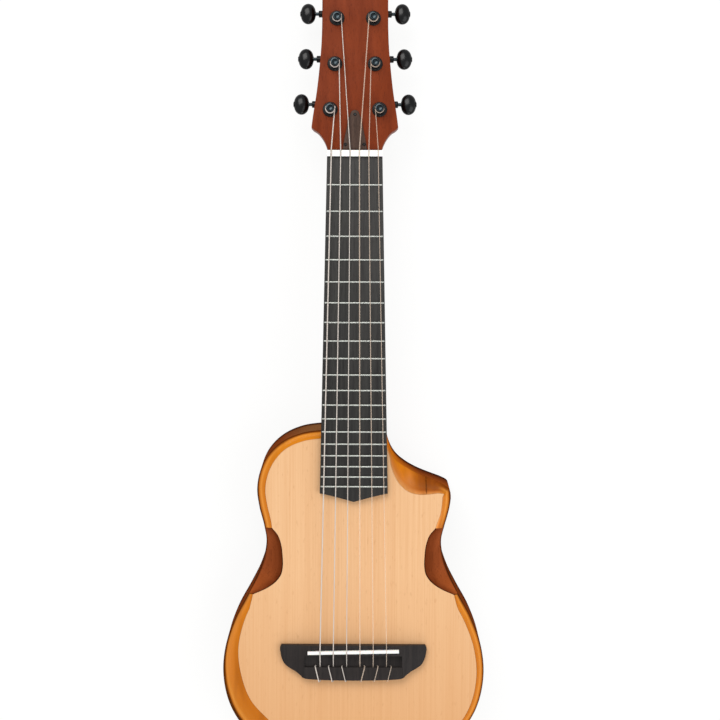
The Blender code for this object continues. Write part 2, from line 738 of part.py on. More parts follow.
def build_braces(body):
    """The glued-up bracing of the top, with the plate under the bridge, and that of the back."""
    inside = SIDE_THICKNESS + LINING_WIDTH + 0.005
    lining = SHOULDER_EDGE_WIDTH + LINING_WIDTH + 0.007
    low = SEAT - TOP_BRACE_HEIGHT
    upper, lower = BODY_TOP + 0.24 * BODY_LENGTH, BRIDGE_FRONT - BAR_TO_BRIDGE
    bars = []
    for distance in (upper, lower):
        left = body.half_width(distance, -1) - lining
        right = body.half_width(distance, 1) - lining
        bars.append(brace((-left, distance), (right, distance), SEAT, low))
    bars.append(brace((0, upper), (0, lower), SEAT, SEAT - BRIDGE_PLATE_THICKNESS, 3 * BRACE_WIDTH))
    plate_front = BRIDGE_FRONT - BRIDGE_PLATE_MARGIN
    plate = block((-0.5 * BRIDGE_WIDTH, along(plate_front + BRIDGE_PLATE_LENGTH), SEAT - BRIDGE_PLATE_THICKNESS),
                  (0.5 * BRIDGE_WIDTH, along(plate_front), SEAT))
    fan_end = BODY_TOP + 0.90 * BODY_LENGTH
    fans = []
    for share in (-1.0, -0.5, 0.0, 0.5, 1.0):
        reach = fan_end - 0.07 * BODY_LENGTH * abs(share)
        fans.append(brace((0.33 * share * HALF_LOWER, lower), (0.5 * share * HALF_LOWER, reach), SEAT,
                          SEAT - 0.7 * TOP_BRACE_HEIGHT))
    add_object("top_bracing", unite(bars[0], bars[2], bars[1], plate, *fans), "spruce", smooth=False)
    high = INNER_FLOOR + BACK_BRACE_HEIGHT
    bars = []
    places = [BODY_TOP + share * BODY_LENGTH for share in (0.21, 0.47, 0.78)]
    for distance in places:
        left = body.half_width(distance, -1) - inside
        right = body.half_width(distance, 1) - inside
        bars.append(brace((-left, distance), (right, distance), INNER_FLOOR, high))
    strip = brace((0, places[0]), (0, places[-1]), INNER_FLOOR, INNER_FLOOR + 0.2 * BACK_BRACE_HEIGHT,
                  2.5 * BRACE_WIDTH)
    add_object("back_bracing", unite(strip, *bars), "spruce", smooth=False)


def board_half_width(distance):
    """Half of the fingerboard's width at a distance from the nut."""
    return NUT_WIDTH / 2 + (BOARD_END_WIDTH - NUT_WIDTH) / 2 * distance / BOARD_LENGTH


def fret_places():
    """Distance of each fret from the nut, in equal temperament."""
    return [SCALE_LENGTH * (1 - 2 ** (-number / 12)) for number in range(1, FRET_COUNT + 1)]


def build_fingerboard():
    """The fingerboard with its pointed end, and the frets pressed into it."""
    end_half = BOARD_END_WIDTH / 2
    outline = [(-NUT_WIDTH / 2, along(GAP)), (-end_half, along(BOARD_LENGTH))]
    for step in range(1, 10):
        x = -end_half + end_half * step / 5
        share = 1 - abs(x) / end_half
        outline.append((x, along(BOARD_LENGTH + BOARD_POINT * share ** 1.15)))
    outline += [(end_half, along(BOARD_LENGTH)), (NUT_WIDTH / 2, along(GAP))]
    board = prism(outline, BOARD_BASE, BOARD_TOP)
    for distance in fret_places():
        half = board_half_width(distance) - FRET_INSET
        crown = [(-FRET_WIDTH / 2, BOARD_TOP - TANG_DEPTH), (-FRET_WIDTH / 2, BOARD_TOP + 0.1 * FRET_HEIGHT),
                 (-0.3 * FRET_WIDTH, BOARD_TOP + 0.8 * FRET_HEIGHT), (0, FRET_TOP),
                 (0.3 * FRET_WIDTH, BOARD_TOP + 0.8 * FRET_HEIGHT),
                 (FRET_WIDTH / 2, BOARD_TOP + 0.1 * FRET_HEIGHT), (FRET_WIDTH / 2, BOARD_TOP - TANG_DEPTH)]
        board = unite(board, slab([(along(distance) + y, z) for y, z in crown], -half, half))
    add_object("fingerboard", board, "ebony", smooth=False)


def string_x(number, spread):
    """X of a string at the nut or the saddle; string 0 is the treble side."""
    return spread / 2 - spread * number / (STRING_COUNT - 1)


def string_height_nut():
    """Height of each string's centre over the nut."""
    return FRET_TOP + STRING_OVER_FRET


def build_nut():
    """The nut, with a slot for each string and its back sloping to the head."""
    top = BODY_DEPTH + GAP + NUT_HEIGHT
    points = [(NUT_WIDTH / 2, BODY_DEPTH + GAP), (NUT_WIDTH / 2, top - 0.0004)]
    for number, diameter in enumerate(STRING_DIAMETERS):
        x = string_x(number, STRING_SPREAD_NUT)
        wide = diameter / 2 + GAP
        bottom = string_height_nut() - diameter / 2 - GAP
        points += [(x + wide, top), (x + wide, bottom), (x - wide, bottom), (x - wide, top)]
    points += [(-NUT_WIDTH / 2, top - 0.0004), (-NUT_WIDTH / 2, BODY_DEPTH + GAP)]
    fall = 0.0007
    front = [(x, NUT_Y + GAP, z) for x, z in points]
    back = [(x, NUT_Y + NUT_LENGTH - GAP, z - fall if z > BOARD_TOP else z) for x, z in points]
    add_object("nut", loft([front, back]), "bone", smooth=False)


def head_frame():
    """The head's own frame: X across, Y along the head from the nut's back, Z out of its face."""
    tilt = Matrix.Rotation(-HEAD_ANGLE, 4, "X")
    return Matrix.Translation((0, NUT_Y + NUT_LENGTH, HEAD_FACE)) @ tilt


def head_outline():
    """The head's outline in its own frame, from the nut's corner round the tip."""
    ear, top, tip = HEAD_EAR_WIDTH / 2, HEAD_TOP_WIDTH / 2, HEAD_LENGTH
    corner, _ = curve_through([(NUT_WIDTH / 2 - 0.0006, 0.0), (0.667 * ear, 0.0051), (0.738 * ear, 0.0102),
                               (0.852 * ear, 0.0154), (0.957 * ear, 0.0181), (ear, 0.0199)], 0.004)
    edge, _ = curve_through([(ear, 0.0199), (0.978 * ear, 0.0265), (0.5 * ear + 0.5 * top - 0.0002, 0.052),
                             (top + 0.0025, 0.067), (top + 0.0004, 0.093), (top, 0.104),
                             (top - 0.0002, tip - 0.012)], 0.012)
    crown, _ = curve_through([(top - 0.0002, tip - 0.012), (top - 0.0018, tip - 0.0055),
                              (0.8 * top, tip - 0.0022), (0.4 * top, tip - 0.0005), (0.0, tip)], 0.006)
    right = [tuple(point) for point in corner + edge[1:] + crown[1:]]
    return right + [(-x, y) for x, y in reversed(right[:-1])]


def neck_section(distance, depth, half, heel, top=BODY_DEPTH):
    """One cross section of the neck; heel goes from 0, a D shape, to 1, the heel's taper."""
    steps = 5
    right = []
    for step in range(steps + 1):
        share = step / steps
        angle = share * math.pi / 2
        round_x = half * math.cos(angle) ** 0.8 if step < steps else 0.0
        round_z = depth * math.sin(angle) ** 0.8
        level = min(1.0, step / (steps - 1))
        taper_x = half + (HEEL_CAP_WIDTH / 2 - half) * level ** 0.7 if step < steps else 0.0
        right.append((round_x + (taper_x - round_x) * heel,
                      top - round_z - (depth * level - round_z) * heel))
    left = [(-x, z) for x, z in reversed(right[:-1])]
    return [(x, along(distance), z) for x, z in right + left]


def build_neck():
    """The neck with its heel and head as one piece of wood, and what is cut into it."""
    sections = []
    for distance, depth, half, top in (
            (-0.019, 0.0105, 0.0195, BODY_DEPTH - 0.0022), (-0.006, NECK_DEPTH, 0.0235, BODY_DEPTH)):
        sections.append(neck_section(distance, depth, half, 0.0, top))
    for step in range(7):
        distance = HEEL_START * step / 6
        depth = NECK_DEPTH + (NECK_DEPTH_HEEL - NECK_DEPTH) * step / 6
        sections.append(neck_section(distance, depth, board_half_width(distance), 0.0))
    heel_end = BODY_TOP - GAP
    full = BODY_DEPTH - HEEL_CAP_HEIGHT
    for step in range(1, 8):
        angle = step / 7 * math.pi / 2
        distance = HEEL_START + (heel_end - HEEL_START) * math.sin(angle)
        share = 1 - math.cos(angle)
        depth = NECK_DEPTH_HEEL + (full - NECK_DEPTH_HEEL) * share
        sections.append(neck_section(distance, depth, board_half_width(distance), share))
    neck = loft(sections)
    head = moved(prism(head_outline(), -HEAD_THICKNESS, 0), head_frame())
    neck = unite(neck, head)
    channel_end = ROD_LENGTH + GAP
    cutters = [block((-ROD_WIDTH / 2 - GAP, along(channel_end), BODY_DEPTH - ROD_DEPTH - 2 * GAP),
                     (ROD_WIDTH / 2 + GAP, along(-NUT_LENGTH - 0.001), BODY_DEPTH + 0.0003))]
    cutters.append(moved(block((-POCKET_WIDTH / 2, -0.0005, -0.0102),
                               (POCKET_WIDTH / 2, POCKET_LENGTH, 0.002)), head_frame()))
    for x, y in tuner_places():
        hole = turned([(BUSHING_RADIUS + GAP, -0.02), (BUSHING_RADIUS + GAP, 0.004)], 14)
        cutters.append(moved(hole, head_frame() @ Matrix.Translation((x, y, 0))))
        lug = turned([(0.001, -0.02), (0.001, -0.0088)], 6)
        cutters.append(moved(lug, head_frame() @ Matrix.Translation((x, y - HOUSING_BELOW - LUG_SCREW, 0))))
    for x, y in cover_screw_places():
        hole = turned([(0.0011, -0.0075), (0.0011, 0.002)], 6)
        cutters.append(moved(hole, head_frame() @ Matrix.Translation((x, y, 0))))
    add_object("neck", cut(neck, *cutters), "mahogany")


def build_truss_rod():
    """The truss rod in its channel, and its adjusting nut in the head's pocket."""
    low, high = BODY_DEPTH - ROD_DEPTH - GAP, BODY_DEPTH - GAP
    rod = block((-ROD_WIDTH / 2, along(ROD_LENGTH), low),
                (ROD_WIDTH / 2, along(-NUT_LENGTH), high))
    nut = turned([(ROD_NUT_RADIUS, 0), (ROD_NUT_RADIUS, ROD_NUT_LENGTH)], 12)
    turn = Matrix.Rotation(-math.pi / 2, 4, "X")
    centre = Vector((0, NUT_Y + NUT_LENGTH - 0.001, (low + high) / 2))
    nut = moved(nut, Matrix.Translation(centre) @ turn)
    add_object("truss_rod", unite(rod, nut), "steel", smooth=False)


def cover_screw_places():
    """The three screws of the truss rod cover, in the head's frame."""
    side = 0.38 * COVER_BASE_WIDTH
    return [(0.0, COVER_LENGTH - 0.004), (side, 0.0042), (-side, 0.0042)]


def build_cover():
    """The truss rod cover on the head's face, with its screws in it."""
    half = COVER_BASE_WIDTH / 2
    right, _ = curve_through([(half, GAP), (0.9 * half, 0.2 * COVER_LENGTH), (0.7 * half, 0.5 * COVER_LENGTH),
                              (0.42 * half, 0.85 * COVER_LENGTH), (0.25 * half, 0.97 * COVER_LENGTH),
                              (0.0, COVER_LENGTH)], 0.006)
    right = [tuple(point) for point in right]
    outline = right + [(-x, y) for x, y in reversed(right[:-1])]
    cover = prism(outline, GAP, GAP + COVER_THICKNESS)
    top = GAP + COVER_THICKNESS
    for x, y in cover_screw_places():
        screw = turned([(0.0007, -0.007), (0.0007, top - 0.0005), (0.0016, top - 0.0005), (0.0016, top + 0.0003),
                        (0.0012, top + 0.0008)], 8)
        cover = unite(cover, moved(screw, Matrix.Translation((x, y, 0))))
    add_object("truss_rod_cover", cover, "rosewood", head_frame(), smooth=False)


def saddle_frame():
    """The saddle's frame: X along it, Z up, on the bridge's base."""
    place = Matrix.Translation((0, along(SADDLE_PLACE), BRIDGE_BASE))
    return place @ Matrix.Rotation(SADDLE_SLANT, 4, "Z")


def build_bridge():
    """The tie bridge with its wings, recess, saddle slot and string holes, and the saddle."""
    half, front, back = BRIDGE_WIDTH / 2, BRIDGE_FRONT, BRIDGE_FRONT + BRIDGE_LENGTH
    drawn = ((0.0, 0.0), (0.985, 0.0), (1.0, 0.055), (0.997, 0.22), (0.972, 0.42), (0.925, 0.57), (0.86, 0.665),
             (0.79, 0.745), (0.72, 0.86), (0.675, 0.93), (0.61, 0.962), (0.3, 0.992), (0.0, 1.0))
    right = [(share * half, along(front + place * BRIDGE_LENGTH)) for share, place in drawn]
    outline = right + [(-x, y) for x, y in reversed(right[1:-1])]
    plan = prism(outline, BRIDGE_BASE, BRIDGE_BASE + BRIDGE_HEIGHT + 0.001)
    mid, low, high = TIE_BLOCK_WIDTH / 2, BRIDGE_BASE - 0.001, BRIDGE_BASE + BRIDGE_HEIGHT
    ridge = [(mid, high), (mid + 0.0035, high - 0.0016), (half + 0.002, BRIDGE_BASE + WING_HEIGHT),
             (half + 0.002, low)]
    profile = ridge + [(-x, z) for x, z in reversed(ridge)]
    shape = loft([[(x, along(back + 0.002), z) for x, z in profile],
                  [(x, along(front - 0.002), z) for x, z in profile]])
    bridge = combined(plan, shape, "INTERSECT")
    recess_back = RECESS_FRONT + RECESS_LENGTH
    tie_top = BRIDGE_BASE + TIE_BLOCK_HEIGHT
    cutters = [block((-mid, along(recess_back), BRIDGE_BASE + RECESS_FLOOR),
                     (mid, along(RECESS_FRONT), high + 0.002)),
               block((-mid - 0.0005, along(back + 0.003), tie_top),
                     (mid + 0.0005, along(recess_back - 0.0005), high + 0.002))]
    for number in range(STRING_COUNT):
        x = string_x(number, STRING_SPREAD_SADDLE)
        hole = turned([(STRING_HOLE_RADIUS, 0), (STRING_HOLE_RADIUS, BRIDGE_LENGTH)], 8)
        place = Vector((x, along(back + 0.004), BRIDGE_BASE + STRING_HOLE_HEIGHT))
        cutters.append(moved(hole, Matrix.Translation(place) @ Matrix.Rotation(-math.pi / 2, 4, "X")
                             @ Matrix.Scale(0.6, 4, (0, 0, 1))))
    slot_half = SADDLE_THICKNESS / 2 + GAP
    slot_low = BRIDGE_HEIGHT - SADDLE_SLOT_DEPTH
    cutters.append(moved(block((-SADDLE_LENGTH / 2 - GAP, -slot_half, slot_low),
                               (SADDLE_LENGTH / 2 + GAP, slot_half, BRIDGE_HEIGHT + 0.002)), saddle_frame()))
    add_object("bridge", cut(bridge, *cutters), "ebony", smooth=False)
    low, top, crown = slot_low + GAP, SADDLE_HEIGHT, 0.3 * SADDLE_THICKNESS
    wide = SADDLE_THICKNESS / 2
    profile = [(-wide, low), (wide, low), (wide, top - 0.0009), (crown, top), (-crown, top),
               (-wide, top - 0.0009)]
    saddle = loft([[(x, y, z) for y, z in profile] for x in (-SADDLE_LENGTH / 2, SADDLE_LENGTH / 2)])
    add_object("saddle", saddle, "bone", saddle_frame(), smooth=False)


def tuner_places():
    """Each post's centre in the head's frame, in the strings' order from the treble side."""
    bass = [(-across, TUNER_FIRST + index * TUNER_SPACING) for index, across in enumerate(POST_PLACES)]
    treble = [(-x, y) for x, y in bass]
    return treble + bass[::-1]


def winding_radius(number):
    """Radius of the string's centre round its post."""
    return POST_RADIUS + GAP + STRING_DIAMETERS[number] / 2


def string_arrival(number):
    """Where a string meets its post: start at the nut, tangent angle and turning sense.

    All in the head's frame; the sense is 1 for anticlockwise seen from the head's face.
    """
    x, y = tuner_places()[number]
    sense = 1 if x < 0 else -1
    radius = winding_radius(number)
    to_head = head_frame().inverted()
    height = string_height_nut() - 0.0007
    start = to_head @ Vector((string_x(number, STRING_SPREAD_NUT), NUT_Y + NUT_LENGTH, height))
    away = start.xy - Vector((x, y))
    bearing = math.atan2(away.y, away.x)
    angle = bearing + sense * math.acos(radius / away.length)
    return start, angle, sense


def string_route(number):
    """The points of a string from its tied end at the bridge to its post."""
    diameter = STRING_DIAMETERS[number]
    lean = 1 if number < STRING_COUNT / 2 else -1
    x = string_x(number, STRING_SPREAD_SADDLE)
    hole = BRIDGE_BASE + STRING_HOLE_HEIGHT
    over = BRIDGE_BASE + TIE_BLOCK_HEIGHT + diameter / 2 + GAP
    block_front = along(RECESS_FRONT + RECESS_LENGTH)
    block_back = along(BRIDGE_FRONT + BRIDGE_LENGTH)
    off = diameter / 2 + 0.0006
    front_x, back_x = x + lean * TIE_REACH, x + lean * TIE_BACK
    points = [
        (front_x - lean * 0.0004, block_front + off, hole + 0.0003),
        (front_x, block_front + off, over - 0.0012),
        (front_x, block_front + 0.5 * off, over - 0.0003),
        (front_x - lean * 0.0003, block_front - 0.0008, over),
        (back_x + lean * 0.0003, block_back + 0.0008, over),
        (back_x, block_back - 0.4 * off, over - 0.0003),
        (back_x, block_back - off, over - 0.0012),
        (back_x - lean * 0.0006, block_back - off - 0.0001, hole + 0.0008),
        (x, block_back - 0.7 * off, hole + 0.0001),
        (x, block_back + 0.001, hole),
        (x, block_front + 0.0006, hole),
    ]
    saddle_y = along(SADDLE_PLACE) + math.sin(SADDLE_SLANT) * x
    crest = BRIDGE_BASE + SADDLE_HEIGHT + diameter / 2 + GAP
    points += [(x, saddle_y - 0.0019, crest - 0.0006), (x, saddle_y - 0.0006, crest), (x, saddle_y + 0.0008, crest)]
    nut_x = string_x(number, STRING_SPREAD_NUT)
    points.append((nut_x, NUT_Y, string_height_nut()))
    start, angle, sense = string_arrival(number)
    frame = head_frame()
    points.append(frame @ start)
    centre = tuner_places()[number]
    radius = winding_radius(number)
    count = WINDING_TURNS * WINDING_POINTS
    for index in range(count + 1):
        turn = angle + sense * 2 * math.pi * index / WINDING_POINTS
        level = WINDING_LEVEL + WINDING_PITCH * index / WINDING_POINTS
        points.append(frame @ Vector((centre[0] + radius * math.cos(turn), centre[1] + radius * math.sin(turn),
                                      level)))
    onward = (points[-1] - points[-2]).normalized()
    points.append(points[-1] + onward * STRING_TAIL)
    return points


def tube(name, points, diameter, finish, frame=None):
    """A round tube along points, with filled ends and six sides."""
    curve = bpy.data.curves.new(name, "CURVE")
    curve.dimensions = "3D"
    curve.bevel_depth = diameter / 2
    curve.bevel_resolution = 1
    curve.use_fill_caps = True
    spline = curve.splines.new("POLY")
    spline.points.add(len(points) - 1)
    for knot, point in zip(spline.points, points):
        knot.co = (*point, 1.0)
    thing = bpy.data.objects.new(name, curve)
    bpy.context.collection.objects.link(thing)
    curve.materials.append(material(finish))
    if frame is not None:
        thing.matrix_world = frame
    return thing


def string_finish(number):
    """Trebles are plain nylon, basses are wound."""
    return "nylon" if number < STRING_COUNT / 2 else "wound"


def least_gap(points, diameter):
    """The least gap of a wound tube to itself, between points at least half a turn apart."""
    apart = WINDING_POINTS // 2
    least = min((first - second).length for index, first in enumerate(points)
                for second in points[index + apart:])
    return least - diameter


def build_strings():
    """The six strings, each one tube from the bridge over the saddle and nut and round its post."""
    for number, diameter in enumerate(STRING_DIAMETERS):
        name = f"string_{number + 1}"
        points = string_route(number)
        tube(name, points, diameter, string_finish(number))
        gap = least_gap(points[-WINDING_TURNS * WINDING_POINTS - 2:], diameter)
        print(f"{name}: least gap of its turns round the post {gap * 1000:.2f} mm")


def wheel_outline(phase):
    """The worm wheel's toothed outline, turned by an angle."""
    root, tip = WHEEL_RADIUS - TOOTH_HEIGHT * 0.54, WHEEL_RADIUS + TOOTH_HEIGHT * 0.46
    points = []
    step = 2 * math.pi / WHEEL_TEETH
    for tooth in range(WHEEL_TEETH):
        middle = math.pi / 2 + tooth * step + phase
        for share, radius in ((-0.23, root), (-0.10, tip), (0.10, tip), (0.23, root)):
            angle = middle + share * step
            points.append((radius * math.cos(angle), radius * math.sin(angle)))
    return points


def post_mesh():
    """A post with its worm wheel and string hole, drawn for the treble side's sense."""
    half = WHEEL_THICKNESS / 2
    twist = half * WORM_PITCH / (2 * math.pi * (WORM_PLACE - WHEEL_RADIUS)) / WHEEL_RADIUS
    wheel = loft([[(x, y, WHEEL_LEVEL - half) for x, y in wheel_outline(-twist)],
                  [(x, y, WHEEL_LEVEL + half) for x, y in wheel_outline(twist)]])
    foot, shoulder = -(HEAD_THICKNESS + HOUSING_HEIGHT + GAP), WHEEL_LEVEL - half - 0.0008
    stem = turned([(JOURNAL_RADIUS, foot), (JOURNAL_RADIUS, shoulder), (POST_RADIUS, shoulder),
                   (POST_RADIUS, POST_HEIGHT - 0.0006), (POST_RADIUS - 0.0006, POST_HEIGHT)], 12)
    level = WINDING_LEVEL + WINDING_PITCH * (WINDING_TURNS + 0.9)
    hole = moved(turned([(0.0008, -0.006), (0.0008, 0.006)], 6, axis="X"), Matrix.Translation((0, 0, level)))
    return cut(unite(stem, wheel), hole)


def worm_mesh():
    """The worm: a thread wound on its core, along X, with a thread crest away from the wheel."""
    turns, per_turn = WORM_TURNS, 8
    sections = []
    for index in range(turns * per_turn + 1):
        turn = 2 * math.pi * index / per_turn
        place = WORM_PITCH * (index / per_turn - turns / 2)
        section = []
        for radius, share in ((WORM_CORE - 0.0003, -0.27), (WORM_RADIUS, -0.11),
                              (WORM_RADIUS, 0.11), (WORM_CORE - 0.0003, 0.27)):
            angle = turn + turns * math.pi
            section.append((place + share * WORM_PITCH, radius * math.cos(angle), radius * math.sin(angle)))
        sections.append(section)
    return loft(sections)


def shaft_mesh():
    """The knob's shaft with its worm, along X from the worm's middle outwards."""
    inner = -HOUSING_WIDTH / 2 - 0.0003
    worm_end = WORM_PITCH * (WORM_TURNS / 2 + 0.3)
    end = KNOB_PLACE + 0.0015
    core = turned([(WORM_CORE, inner), (WORM_CORE, worm_end + 0.0004), (SHAFT_RADIUS, worm_end + 0.0008),
                   (SHAFT_RADIUS, end)], 8, axis="X")
    return unite(core, worm_mesh())


def knob_mesh():
    """An oval knob with a bore for its shaft and a screw in its end, along X from the post's centre line."""
    inner, sides = KNOB_PLACE - KNOB_WIDTH / 2, 12
    bore = SHAFT_RADIUS + GAP
    rows = [(0.0, KNOB_NECK_RADIUS, KNOB_NECK_RADIUS)]
    for degrees in (30, 55, 80, 105, 130, 154):
        angle = math.radians(degrees)
        swell = math.sin(angle) ** 0.85
        rows.append(((1 - math.cos(angle)) / 2, KNOB_LENGTH / 2 * swell, KNOB_THICKNESS / 2 * swell))
    rows.append((1.0, KNOB_NECK_RADIUS, KNOB_NECK_RADIUS))
    rings = [(inner + KNOB_WIDTH * share, long, thick) for share, long, thick in rows]
    rings += [(inner + KNOB_WIDTH, bore, bore), (inner, bore, bore)]
    sections = []
    for place, long, thick in rings:
        sections.append([(place, long * math.cos(2 * math.pi * side / sides),
                          thick * math.sin(2 * math.pi * side / sides)) for side in range(sides)])
    end = inner + KNOB_WIDTH
    screw = turned([(0.0021, end - 0.003), (0.0021, end + 0.0002), (0.0016, end + 0.0005)], 8, axis="X")
    return unite(loft(sections, closed=True), screw)


def housing_mesh():
    """A tuner's housing: a cup behind the head with a boss for the shaft, a lug and its screw."""
    high = -(HEAD_THICKNESS + GAP)
    low = high - HOUSING_HEIGHT
    half, bottom = HOUSING_WIDTH / 2, -HOUSING_BELOW
    top = bottom + HOUSING_LENGTH
    bevel = 0.0025
    outline = [(-half + bevel, bottom), (half - bevel, bottom), (half, bottom + bevel), (half, top - bevel),
               (half - bevel, top), (-half + bevel, top), (-half, top - bevel), (-half, bottom + bevel)]
    inset = [(0.86 * x, bottom + 0.001 + (y - bottom) * (1 - 0.002 / HOUSING_LENGTH)) for x, y in outline]
    shell = loft([[(x, y, high) for x, y in outline], [(x, y, low + 0.0015) for x, y in outline],
                  [(x, y, low) for x, y in inset]])
    lug = loft([[(x, y, z) for x, y in ((-0.003, bottom + 0.001), (0.003, bottom + 0.001),
                                        (0.0024, bottom - 0.005), (-0.0024, bottom - 0.005))]
                for z in (high - 0.0025, high)])
    boss = turned([(BOSS_RADIUS, half - 0.001), (BOSS_RADIUS, BOSS_END - 0.0005),
                   (BOSS_RADIUS - 0.0005, BOSS_END)], 12, axis="X")
    axis = Matrix.Translation((0, WORM_PLACE, WHEEL_LEVEL))
    housing = unite(shell, lug, moved(boss, axis))
    wall = HOUSING_WALL
    cavity = block((-half + wall, bottom + wall, low + wall), (half - wall, top - wall, high + 0.001))
    outer_bore = turned([(SHAFT_RADIUS + GAP, 0.001), (SHAFT_RADIUS + GAP, BOSS_END + 0.001)], 8, axis="X")
    inner_bore = turned([(WORM_CORE + GAP, -half - 0.001), (WORM_CORE + GAP, 0)], 8, axis="X")
    foot_bore = turned([(JOURNAL_RADIUS + GAP, low - 0.001), (JOURNAL_RADIUS + GAP, low + wall + 0.001)], 8)
    screw = moved(turned([(0.0016, high - 0.0037), (0.0021, high - 0.003), (0.0021, high - 0.002),
                          (0.0007, high - 0.002), (0.0007, -0.0095)], 6),
                  Matrix.Translation((0, bottom - LUG_SCREW, 0)))
    return unite(cut(housing, cavity, moved(outer_bore, axis), moved(inner_bore, axis), foot_bore), screw)


def bushing_mesh():
    """The threaded bushing through the head, with its round washer."""
    inner, lip = POST_RADIUS + GAP, GAP + WASHER_THICKNESS
    return ring_solid([(inner, -BUSHING_LENGTH), (BUSHING_RADIUS, -BUSHING_LENGTH), (BUSHING_RADIUS, GAP),
                       (WASHER_RADIUS, GAP), (WASHER_RADIUS - 0.0003, lip),
                       (BUSHING_HEAD_RADIUS, lip), (BUSHING_HEAD_RADIUS - 0.0003, lip + BUSHING_HEAD),
                       (inner, lip + BUSHING_HEAD)], 14)


def build_tuners():
    """Six tuning machines; those of the bass side mirror those of the treble side."""
    frame = head_frame()
    mirror = Matrix.Scale(-1, 4, (1, 0, 0))
    housing, shaft, knob, bushing, post = (housing_mesh(), shaft_mesh(), knob_mesh(), bushing_mesh(), post_mesh())
    for number, (x, y) in enumerate(tuner_places()):
        place = frame @ Matrix.Translation((x, y, 0))
        worm_axis = place @ Matrix.Translation((0, WORM_PLACE, WHEEL_LEVEL))
        hand = mirror if x < 0 else Matrix.Identity(4)
        for name, mesh, finish, matrix in (("housing", housing, "black_metal", place),
                                           ("bushing", bushing, "black_metal", place),
                                           ("post", post, "dark_chrome", place),
                                           ("shaft", shaft, "dark_chrome", worm_axis),
                                           ("knob", knob, "black_metal", worm_axis)):
            add_object(f"tuner_{name}_{number + 1}", moved(mesh, hand), finish, matrix)


def main():
    """Clears the scene and builds every piece."""
    for thing in list(bpy.data.objects):
        bpy.data.objects.remove(thing)
    body = Body()
    build_plates(body)
    build_sides(body)
    build_edges(body)
    build_blocks(body)
    build_braces(body)
    build_fingerboard()
    build_nut()
    build_neck()
    build_truss_rod()
    build_cover()
    build_bridge()
    build_strings()
    build_tuners()


main()
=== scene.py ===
"""A guitalele lying on a pale floor, dressed round its CAD frame and seen from above.

Metres, in the frame of the CAD model: +X to the treble side, +Y to the head, +Z out of the soundboard.
"""
from __future__ import annotations

import json
import logging
import math
from dataclasses import dataclass, field
from enum import Enum
from typing import Any, Callable, Iterable, Sequence

import bmesh
import bpy
from mathutils import Matrix, Vector

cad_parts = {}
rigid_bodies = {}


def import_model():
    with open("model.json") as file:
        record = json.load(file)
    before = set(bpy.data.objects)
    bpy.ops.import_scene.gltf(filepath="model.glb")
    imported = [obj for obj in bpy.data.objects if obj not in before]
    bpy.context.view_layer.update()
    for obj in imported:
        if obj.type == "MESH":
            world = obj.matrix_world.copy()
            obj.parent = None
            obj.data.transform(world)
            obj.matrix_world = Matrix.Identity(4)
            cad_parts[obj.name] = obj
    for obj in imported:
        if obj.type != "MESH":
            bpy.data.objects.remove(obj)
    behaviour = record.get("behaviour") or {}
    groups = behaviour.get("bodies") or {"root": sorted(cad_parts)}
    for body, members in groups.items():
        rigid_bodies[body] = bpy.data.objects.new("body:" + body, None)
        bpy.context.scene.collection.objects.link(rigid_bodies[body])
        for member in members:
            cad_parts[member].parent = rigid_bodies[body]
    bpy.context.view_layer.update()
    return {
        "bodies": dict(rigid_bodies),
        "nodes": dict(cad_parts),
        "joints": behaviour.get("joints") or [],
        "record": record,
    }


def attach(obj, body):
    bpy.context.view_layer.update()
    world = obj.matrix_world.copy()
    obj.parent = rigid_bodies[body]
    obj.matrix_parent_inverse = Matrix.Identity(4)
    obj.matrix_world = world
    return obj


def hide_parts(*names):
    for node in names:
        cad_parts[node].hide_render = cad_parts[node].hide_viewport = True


LOG = logging.getLogger("guitalele")
HAIR = 0.0003
PAST = 0.001
SCALE_LENGTH = 0.432
BODY_TOP = 0.2393
BODY_LENGTH = 0.3107
BODY_DEPTH = 0.065
NUT_Y = BODY_TOP + BODY_LENGTH / 2
NUT_WIDTH = 0.048
NUT_LENGTH = 0.006
HEAD_ANGLE = math.radians(8.5)
HEAD_THICKNESS = 0.0135
BOARD_LENGTH = 0.294
BOARD_END_WIDTH = 0.0596
BOARD_BASE = BODY_DEPTH + HAIR
BOARD_TOP = BOARD_BASE + 0.0055
FRET_TOP = BOARD_TOP + 0.001
SIX = range(6)
PLAIN_STRINGS = 3
FRET_COUNT = 19
HEAD_STEP = 0.0008
SPREAD_SADDLE = 0.0586
TUNER_FIRST = 0.035
TUNER_SPACING = 0.040
POST_PLACES = (0.0214, 0.0175, 0.0158)
POST_RADIUS = 0.003
BUSHING_RADIUS = 0.0046
WINDING_LEVEL = 0.0039
WINDING_PITCH = 0.0016
WHITE = (1.0, 1.0, 0.995, 1.0)

Point = Sequence[float]
Colour = tuple[float, float, float]
Profile = list[tuple[float, float, float]]


def along(distance: float) -> float:
    """Y of a place that lies this far from the nut towards the tail."""
    return NUT_Y - distance


def tint(red: int, green: int, blue: int) -> Colour:
    """A display colour of 0 to 255 as linear light."""
    return tuple(c / 12.92 if c <= 0.04045 else ((c + 0.055) / 1.055) ** 2.4
                 for c in (red / 255, green / 255, blue / 255))


def placed(name: str, data: bpy.types.ID) -> bpy.types.Object:
    """A new object in the scene."""
    thing = bpy.data.objects.new(name, data)
    bpy.context.collection.objects.link(thing)
    return thing


def mirrored(right: Sequence[Point]) -> list[Point]:
    """A right half that ends on the centre line, with its mirror image."""
    return [*right, *((-x, y) for x, y in reversed(right[:-1]))]


class Axis(Enum):
    """The line that a turned piece goes round."""

    UP = "up"
    ACROSS = "across"


class Hand(Enum):
    """The side of the instrument, as the sign of X."""

    BASS = -1
    TREBLE = 1


# Shader expressions

